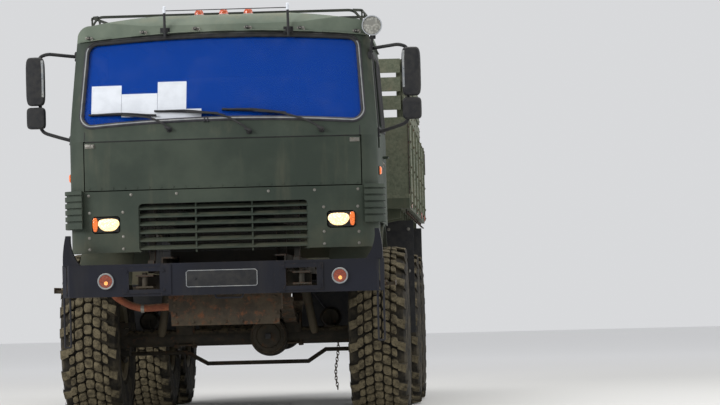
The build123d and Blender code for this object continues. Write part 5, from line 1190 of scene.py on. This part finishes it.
# Load bed: bolts on the stiffeners and racks, latches, rope hooks, corner irons and reflectors
POST_ROWS = spread(-0.95, 3.67, 6)
SLAT_BOLTS = [2.35 + row * 0.145 + step for row in range(3) for step in (0.028, 0.082)]
draft = bmesh.new()
irons = bmesh.new()
for side in (-1, 1):
    for y in POST_ROWS:
        for z in (1.62, 1.7, 1.9, 2.1, 2.24):
            bolt_side(draft, "cargo_boards cargo_floor", side, y, z, 0.009, 0.007)
        for z in SLAT_BOLTS:
            bolt_side(draft, "cargo_racks", side, y, z, 0.007, 0.005)
    for y in spread(-0.75, 3.65, 10):
        hook = ((1.19, -0.035, 1.586), (1.19, -0.035, 1.548), (1.216, -0.028, 1.532))
        rod(irons, [(side * x, y + dy, z) for x, dy, z in hook] + [(side * x, y - dy, z) for x, dy, z in hook[::-1]],
            0.006, 0.012)
    for y in (3.798, -1.05):
        slab(irons, (side * 1.2245, y - 0.026, 1.69), (side * 1.229, y + 0.026, 2.262), 0.0015)
        for z in spread(1.74, 2.212, 5):
            hex_bolt(irons, (side * 1.229, y, z), (side, 0, 0), 0.008, 0.006, washer=False)
    # Tailgate latch: a bar through two eyes with a grip
    for z in (2.06, 2.18):
        slab(irons, (side * 1.2245, 3.77, z - 0.016), (side * 1.245, 3.8, z + 0.016), 0.004)
    rod(irons, [(side * 1.238, y, z) for y, z in ((3.785, 2.03), (3.785, 2.215), (3.76, 2.225), (3.738, 2.225))],
        0.0075, 0.012, 10)
for names, places, rows, size, height in (("cargo_racks", (-0.6, 0, 0.6), SLAT_BOLTS, 0.007, 0.005),
                                          ("cargo_boards", (-0.7, -0.23, 0.23, 0.7), (1.72, 1.94, 2.18),
                                           0.009, 0.007)):
    for x in places:
        for z in rows:
            hex_bolt(draft, seen_front(names, x, z)[0], FRONT, size, height)
keep("bed_bolts", draft, RUSTY, "chassis")
keep("bed_irons", irons, FRAME_PAINT, "chassis")
draft = bmesh.new()
for x in (-0.9, 0, 0.9):
    for dx, z, size in ((-0.024, 1.665, 0.008), (0.024, 1.665, 0.008), (-0.024, 1.735, 0.008), (0.024, 1.735, 0.008),
                        (0, 1.84, 0.009), (0, 2.02, 0.009), (0, 2.2, 0.009)):
        hex_bolt(draft, touch("tailgate", (x + dx, 4.5, z), FRONT)[0], BACK, size, 0.006)
keep("gate_bolts", draft, RUSTY, "tailgate")

draft = bmesh.new()
for side in (-1, 1):
    for y in (-0.65, 0.95, 2.55, 3.62):
        holder = ((1.2245, 0), (1.2245, 0.034), (1.23, 0.034), (1.2315, 0.03), (1.2315, 0))
        glass = ((1.2312, 0.03), (1.2335, 0.028), (1.235, 0.016), (1.2355, 0))
        for form, slot in ((holder, 1), (glass, 0)):
            turn_profile(draft, [(side * x, radius) for x, radius in form], 28, (0, y, 1.618), slot=slot)
keep("side_reflectors", draft, [AMBER, BLACK_PLASTIC], "chassis")

# Raised treads pressed into the deck plate, between the posts
draft = bmesh.new()
for x in spread(-1.04, 1.04, 9):
    slab(draft, (x - 0.016, -0.96, 1.6645), (x + 0.016, 3.8, 1.6665), 0.0008, 1)
keep("deck_ribs", draft, BED_PAINT, "chassis")

# Tank: strap bolts, cap and drain plug; battery box latches; muffler rims and clamps
draft = bmesh.new()
for y in (-1.53, -0.83):
    slab(draft, (-0.56, y - 0.02, 1.15), (-0.52, y + 0.02, 1.2), 0.004)
    rod(draft, [(-0.54, y, 1.12), (-0.54, y, 1.215)], 0.006)
    hex_bolt(draft, (-0.54, y, 1.2), UP, 0.011, 0.01)
    for z in (0.76, 1.08):
        hex_bolt(draft, (-1.084, y, z), RIGHT, 0.008, 0.006)
turn_profile(draft, [(1.205, 0), (1.205, 0.052), (1.214, 0.055), (1.232, 0.055), (1.24, 0.05), (1.24, 0)], 36,
             (-0.9, -1.65, 0), "Z")
slab(draft, (-0.945, -1.658, 1.238), (-0.855, -1.642, 1.252), 0.004)
turn_profile(draft, [(0.682, 0), (0.682, 0.02), (0.674, 0.02), (0.672, 0.012), (0.664, 0.012), (0.664, 0)], 16,
             (-0.8, -1.18, 0), "Z")
for y in (-1.6, -1.3):
    slab(draft, (1.06, y - 0.016, 1.01), (1.068, y + 0.016, 1.105), 0.002)
    slab(draft, (1.067, y - 0.01, 1.05), (1.08, y + 0.01, 1.112), 0.003)
for y in (-0.4295, 0.2695):
    band(draft, 0.003, 0.116, 0.1235, 48, (-0.62, y, 0.9), "Y")
for y in (-0.33, 0.17):
    band(draft, 0.018, 0.1195, 0.1225, 48, (-0.62, y, 0.9), "Y")
    hex_bolt(draft, (-0.62, y, 1.0225), UP, 0.01, 0.01)
keep("tank_and_box_fittings", draft, ZINC, "chassis")
draft = bmesh.new()
rod(draft, [(-0.62, 0.26, 0.9), (-0.62, 0.33, 0.9), (-0.7, 0.39, 0.88), (-0.96, 0.4, 0.86),
            (-1.06, 0.405, 0.84)], 0.036, 0.09, 16)
keep("tail_pipe", draft, RUSTY, "chassis")

# Air cleaner: clamp bands, dust bowl latches and slots under the rain cap
CLEANER_X, CLEANER_Y = 0.88, -1.72
draft = bmesh.new()
for z, radius in ((1.34, 0.1705), (1.6, 0.1705), (1.86, 0.1705), (2.02, 0.0905), (2.4, 0.0905), (2.548, 0.1505),
                  (2.694, 0.1505)):
    band(draft, 0.012, radius - 0.001, radius + 0.0035, 48, (CLEANER_X, CLEANER_Y, z), "Z")
for a in (0.5, 1.6, 3.6, 4.7):
    u, v = cos(a), sin(a)
    slab(draft, (-0.012, -0.03, -0.002), (0.012, 0.03, 0.008), 0.003,
         matrix=stand_on((CLEANER_X + 0.175 * u, CLEANER_Y + 0.175 * v, 1.385), (u, v, 0)))
keep("air_cleaner_bands", draft, ZINC, "chassis")
draft = bmesh.new()
for u, v in circle(1.0, 36):
    slab(draft, (-0.0035, -0.055, -0.001), (0.0035, 0.055, 0.002),
         matrix=stand_on((CLEANER_X + 0.1502 * u, CLEANER_Y + 0.1502 * v, 2.621), (u, v, 0)))
keep("air_intake_slots", draft, BLACK_PLASTIC, "chassis")

# Bolts on the mudguards' stays
draft = bmesh.new()
for side in (-1, 1):
    for y, out in ((-0.026, -1), (2.746, 1)):
        for x in (0.87, 1.02, 1.18):
            for z in (1.1, 1.44):
                hex_bolt(draft, (side * x, y, z), (0, out, 0), 0.009, 0.007)
keep("guard_bolts", draft, ZINC, "chassis")


# Seats: padded cushions and backs on sprung steel frames
def pad(name, low, high, up, puff, seams):
    """A closed crowned cushion between two corners: rounded edges, pulled-in sides and sewn channels."""
    draft = bmesh.new()
    bmesh.ops.create_cube(draft, size=2.0)
    bmesh.ops.subdivide_edges(draft, edges=draft.edges[:], cuts=22, use_grid_fill=True)
    middle = (Vector(low) + Vector(high)) / 2
    half = (Vector(high) - Vector(low)) / 2
    axis, way = up
    a, b = [other for other in range(3) if other != axis]
    for vert in draft.verts:
        p = vert.co.copy()
        q = p / (abs(p.x) ** 7 + abs(p.y) ** 7 + abs(p.z) ** 7) ** (1 / 7)
        u, v, w = p[a], p[b], p[axis] * way
        q[a] *= 1 - 0.035 * (1 - v * v) * (1 - w * w)
        q[b] *= 1 - 0.035 * (1 - u * u) * (1 - w * w)
        spot = Vector([q[i] * half[i] for i in range(3)])
        if w > 0:
            sewn = max((max(0, 1 - abs(u - s) / 0.085) for s in seams), default=0.0)
            crown = puff * ((1 - u ** 4) * (1 - v ** 4) - 1) - 0.01 * sewn ** 0.7 * (1 - v ** 6)
            crown += 0.0018 * sin(11 * u + 3 * v) * sin(7 * v - 2 * u)
            spot[axis] += way * crown * w
        vert.co = middle + spot
    piece = keep(name, draft, CLOTH, "cab", 80)
    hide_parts("seats")


for side, corner in SIDES:
    x_low, x_high = sorted((side * 0.442, side * 0.858))
    pad(f"seat_cushion_{corner}", (x_low, -2.878, 1.7), (x_high, -2.452, 1.848), (2, 1), 0.024, (-0.42, 0.42))
    pad(f"seat_back_{corner}", (x_low, -2.44, 1.856), (x_high, -2.312, 2.33), (1, -1), 0.022, (-0.42, 0.42))
    pad(f"head_rest_{corner}", (x_low + 0.075, -2.42, 2.352), (x_high - 0.075, -2.33, 2.496), (1, -1), 0.014,
        ())
draft = bmesh.new()
for side in (-1, 1):
    x_low, x_high = sorted((side * 0.45, side * 0.85))
    slab(draft, (x_low, -2.87, 1.676), (x_high, -2.385, 1.7), 0.006)
    for x in (x_low + 0.02, x_high - 0.02):
        rod(draft, [(x, -2.85, 1.47), (x, -2.85, 1.56), (x, -2.48, 1.62), (x, -2.48, 1.68)], 0.012)
        rod(draft, [(x, -2.4, 1.462), (x, -2.4, 1.6), (x, -2.85, 1.64), (x, -2.85, 1.68)], 0.012)
        rod(draft, [(x, -2.4, 1.69), (x, -2.335, 1.78), (x, -2.322, 2.3)], 0.011, 0.05)
        slab(draft, (x - 0.025, -2.868, 1.461), (x + 0.025, -2.38, 1.472), 0.002)
    for x in (side * 0.65 - 0.06, side * 0.65 + 0.06):
        rod(draft, [(x, -2.352, 2.3), (x, -2.372, 2.4)], 0.006)
frames = keep("seat_frames", draft, BLACK_PLASTIC, "cab")
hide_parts("seats")

# Dash: dials in bezels, switches, grab rail; levers and pedals
draft = bmesh.new()
for x, radius in ((0.5, 0.034), (0.62, 0.055), (0.74, 0.034)):
    dial = bmesh.new()
    turn_profile(dial, [(-0.004, 0), (-0.004, radius), (0.01, radius), (0.012, radius * 0.9), (0.005, radius * 0.84),
                        (0.0045, 0)], 32, axis="Z")
    for i in range(11):
        slab(dial, (-0.0008, radius * 0.66, 0.0046), (0.0008, radius * 0.8, 0.006), slot=2,
             matrix=Matrix.Rotation(radians(-40 + 26 * i), 4, "Z"))
    slab(dial, (-0.001, -0.006, 0.0056), (0.001, radius * 0.6, 0.0066), slot=2, matrix=Matrix.Rotation(0.7, 4, "Z"))
    set_in(draft, dial, stand_on(*touch("dashboard", (x, -2.6, 2.01), FRONT)))
for x in spread(-0.1, 0.285, 8):
    slab(draft, (-0.01, -0.016, 0), (0.01, 0.016, 0.012), 0.003,
         matrix=stand_on(*touch("dashboard", (x, -2.6, 2.0), FRONT)))
rod(draft, [(-0.9, -3.238, 2.01), (-0.9, -3.195, 2.02), (-0.52, -3.195, 2.02), (-0.52, -3.238, 2.01)], 0.01,
    0.02)
rod(draft, [(0.24, -2.9, 1.675), (0.235, -2.96, 1.86), (0.26, -2.98, 2.02)], 0.01, 0.08, 12)
turn_profile(draft, [(2.01, 0), (2.012, 0.02), (2.03, 0.027), (2.048, 0.024), (2.058, 0)], 24,
             (0.26, -2.982, 0), "Z")
for x in (0.43, 0.14):
    rod(draft, [(x, -2.7, 1.64), (x, -2.76, 1.8)], 0.008, sides=10)
    rod(draft, [(x, -2.755, 1.79), (x, -2.775, 1.85)], 0.013, sides=12)
for x in (0.5, 0.63, 0.76):
    rod(draft, [(x, -3.57, 1.64), (x, -3.48, 1.56), (x, -3.42, 1.56)], 0.008)
    slab(draft, (-0.03, -0.04, -0.005), (0.03, 0.04, 0.007), 0.004,
         matrix=Matrix.Translation((x, -3.41, 1.565)) @ Matrix.Rotation(radians(55), 4, "X"))
keep("cab_controls", draft, [BLACK_PLASTIC, BLACK_PLASTIC, PAPER], "cab")

# Steering wheel: a rim with grips, three spokes and a column shroud, in place of the plain one
draft = bmesh.new()
helm = bmesh.new()
rim = [(u, v, 0.0022 * sin(pi * i / 2)) for i, (u, v) in enumerate(circle(0.23, 72))]
run_along(helm, rim, circle(0.0155, 16), closed=True)
for a in (pi / 2, pi / 2 + 2.15, pi / 2 - 2.15):
    spoke = [(reach * cos(a), reach * sin(a), z) for reach, z in ((0.03, -0.014), (0.12, -0.01), (0.226, 0))]
    run_along(helm, spoke, [(-0.016, -0.004), (0.016, -0.004), (0.012, 0.004), (-0.012, 0.004)])
turn_profile(helm, [(-0.034, 0), (-0.034, 0.04), (-0.01, 0.048), (0.008, 0.046), (0.018, 0.034), (0.02, 0)], 32,
             axis="Z")
set_in(draft, helm, stand_on((0.62, -3.0, 2.11), (0, 0.42, 0.91), FRONT))
rod(draft, [(0.62, -3.006, 2.088), (0.62, -3.225, 1.945)], 0.027, sides=16)
wheel = keep("steering_wheel_rim", draft, BLACK_PLASTIC, "cab")
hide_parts("steering_wheel")

# Roof rack: a thin bar, low and swept down at the front and rising to its full height behind
RACK_FRONT = [(-0.97, -3.09, 2.88), (-0.915, -3.18, 2.94), (0.915, -3.18, 2.94), (0.97, -3.09, 2.88)]
RACK_SIDES = [(-0.915, -3.18, 2.94), (-0.9715, -3.06, 2.948), (-0.9715, -2.06, 2.9915),
              (0.9715, -2.06, 2.9915), (0.9715, -3.06, 2.948), (0.915, -3.18, 2.94)]
draft = bmesh.new()
for path, turn in ((RACK_FRONT, 0.04), (RACK_SIDES, 0.06)):
    run_along(draft, bent_path(path, turn), bar_outline(-0.003, 0.003, -0.011, 0.008), (0, 0.1, 1))
rivets = bmesh.new()
for side in (-1, 1):
    for y in (-3.07, -2.63, -2.1):
        foot = touch("cab_roof", (side * 0.9715, y, 4.0), DOWN)[0].z
        head = 2.948 + (y + 3.06) * 0.0435
        slab(draft, (side * 0.966, y - 0.012, foot - 0.004), (side * 0.977, y + 0.012, head), 0.001)
        slab(draft, (side * 0.94, y - 0.022, foot - 0.004), (side * 0.977, y + 0.022, foot + 0.008), 0.001)
        for z in (foot + 0.022, head - 0.016):
            hex_bolt(rivets, (side * 0.977, y, z), (side, 0, 0), 0.005, 0.004, washer=False)
rack = keep("rack_rails", draft, RACK_PAINT, "cab")
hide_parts("roof_rack")
keep("rack_rivets", rivets, ZINC, "cab")

# The solids that show, and their finishes
COATS = (
    (FRAME_PAINT, "frame_rails tow_fittings radiator battery_box spare_carrier cab_floor"),
    (BUMPER_PAINT, "front_bumper bumper_horns"),
    (RUSTY, "front_crossbeam leaf_springs muffler"),
    (DRIVE_IRON, "front_axle rear_axles engine drive_line knuckle_left knuckle_right tie_rod"),
    (BED_PAINT, "fuel_tank air_cleaner cargo_floor"),
    (RIM_PAINT, "spare_rim " + " ".join(f"rim_{row}_{corner}" for row in WHEELS for _, corner in SIDES)),
    (BLACK_PLASTIC, "mudguards steering_wheel mirrors searchlight wipers"),
    (BOARDS, "cargo_boards cargo_racks tailgate"),
    (SHADED_CAB_COLOUR, "cab_back cab_sides cab_front grille cab_fenders front_lid door_left door_right"),
    (SUNLIT_ROOF_PAINT, "cab_roof"),
    (RACK_PAINT, "roof_rack"),
    (SKY_BLUE_SCREEN, "cab_glass"),
    (SIDE_GLASS, "door_glass_left door_glass_right"),
    (AMBER, "chassis_lamps cab_lamps"),
    (CLOTH, "seats"),
    (TRIM_PLASTIC, "dashboard"),
)
for coat, names in COATS:
    for name in names.split():
        shown = nodes.get(name)
        if shown is None:
            continue
        if not shown.material_slots:
            shown.data.materials.append(coat)
        for place in shown.material_slots:
            place.link = "OBJECT"
            place.material = coat
# The panes behind the windscreen have plain glass
panes = nodes["cab_glass"]
panes.data.materials.append(SIDE_GLASS)
plain = len(panes.material_slots) - 1
SCREEN_END = -3.0
for face in panes.data.polygons:
    if face.center.y > SCREEN_END:
        face.material_index = plain

# Stage: pale floor, soft lamps and the photograph's view
floor_finish = Finish("studio_floor")
east, north = floor_finish.axis("X"), floor_finish.axis("Y")
far = floor_finish.between((east * east + north * north) ** 0.5, 5.0, 22.0)
floor_tint = floor_finish.mix(far, (212, 211, 208), (250, 250, 250))
floor_finish.end(floor_tint, 0.9, floor_finish.mottle(0.01, 3, 0.5), 0.0004)
draft = bmesh.new()
bmesh.ops.create_grid(draft, x_segments=24, y_segments=24, size=60.0)
floor = bpy.data.objects.new("studio_floor", as_mesh("studio_floor", draft))
floor.data.materials.append(floor_finish.material)
bpy.context.scene.collection.objects.link(floor)

world = bpy.data.worlds.new("studio")
bpy.context.scene.world = world
world.use_nodes = True
sky = world.node_tree
background = sky.nodes["Background"]
background.inputs["Color"].default_value = (0.93, 0.94, 0.96, 1)
rays = sky.nodes.new("ShaderNodeLightPath").outputs
seen = rays["Is Camera Ray"]
for ray in ("Is Transmission Ray", "Is Glossy Ray"):
    either = sky.nodes.new("ShaderNodeMath")
    either.operation = "MAXIMUM"
    sky.links.new(seen, either.inputs[0])
    sky.links.new(rays[ray], either.inputs[1])
    seen = either.outputs[0]
strength = sky.nodes.new("ShaderNodeMapRange")
strength.inputs["To Min"].default_value = 0.62
strength.inputs["To Max"].default_value = 0.74
sky.links.new(seen, strength.inputs["Value"])
sky.links.new(strength.outputs[0], background.inputs["Strength"])


def soft_lamp(name, spot, aim, width, height, watts):
    """A large soft lamp that shines from one place towards another."""
    data = bpy.data.lights.new(name, "AREA")
    data.shape = "RECTANGLE"
    data.size = width
    data.size_y = height
    data.energy = watts
    lamp = bpy.data.objects.new(name, data)
    lamp.location = spot
    lamp.rotation_euler = (Vector(aim) - Vector(spot)).to_track_quat("-Z", "Y").to_euler()
    bpy.context.scene.collection.objects.link(lamp)


soft_lamp("key_lamp", (-11.5, -11.0, 7.5), (0, -3.0, 1.4), 6.0, 5.0, 1700)
soft_lamp("top_lamp", (1.0, -1.0, 11.0), (0, -0.5, 1.0), 8.0, 12.0, 900)
soft_lamp("side_lamp", (12.0, -3.0, 6.0), (0.5, -1.0, 1.2), 6.0, 5.0, 500)

camera_data = bpy.data.cameras.new("photo_camera")
camera_data.lens = 156.0
camera_data.sensor_width = 36.0
camera_data.clip_end = 300.0
camera = bpy.data.objects.new("photo_camera", camera_data)
bpy.context.scene.collection.objects.link(camera)
rise, lean = radians(1.87), radians(1.45)
forward = Vector((-0.0432 * cos(rise), 0.99907 * cos(rise), sin(rise))).normalized()
right = forward.cross(Vector(UP)).normalized()
above = right.cross(forward)
right, above = right * cos(lean) - above * sin(lean), above * cos(lean) + right * sin(lean)
pose = Matrix((right, above, -forward)).transposed().to_4x4()
pose.translation = (1.888, -25.37, 0.8375)
camera.matrix_world = pose
bpy.context.scene.camera = camera
bpy.context.scene.view_settings.view_transform = "Standard"
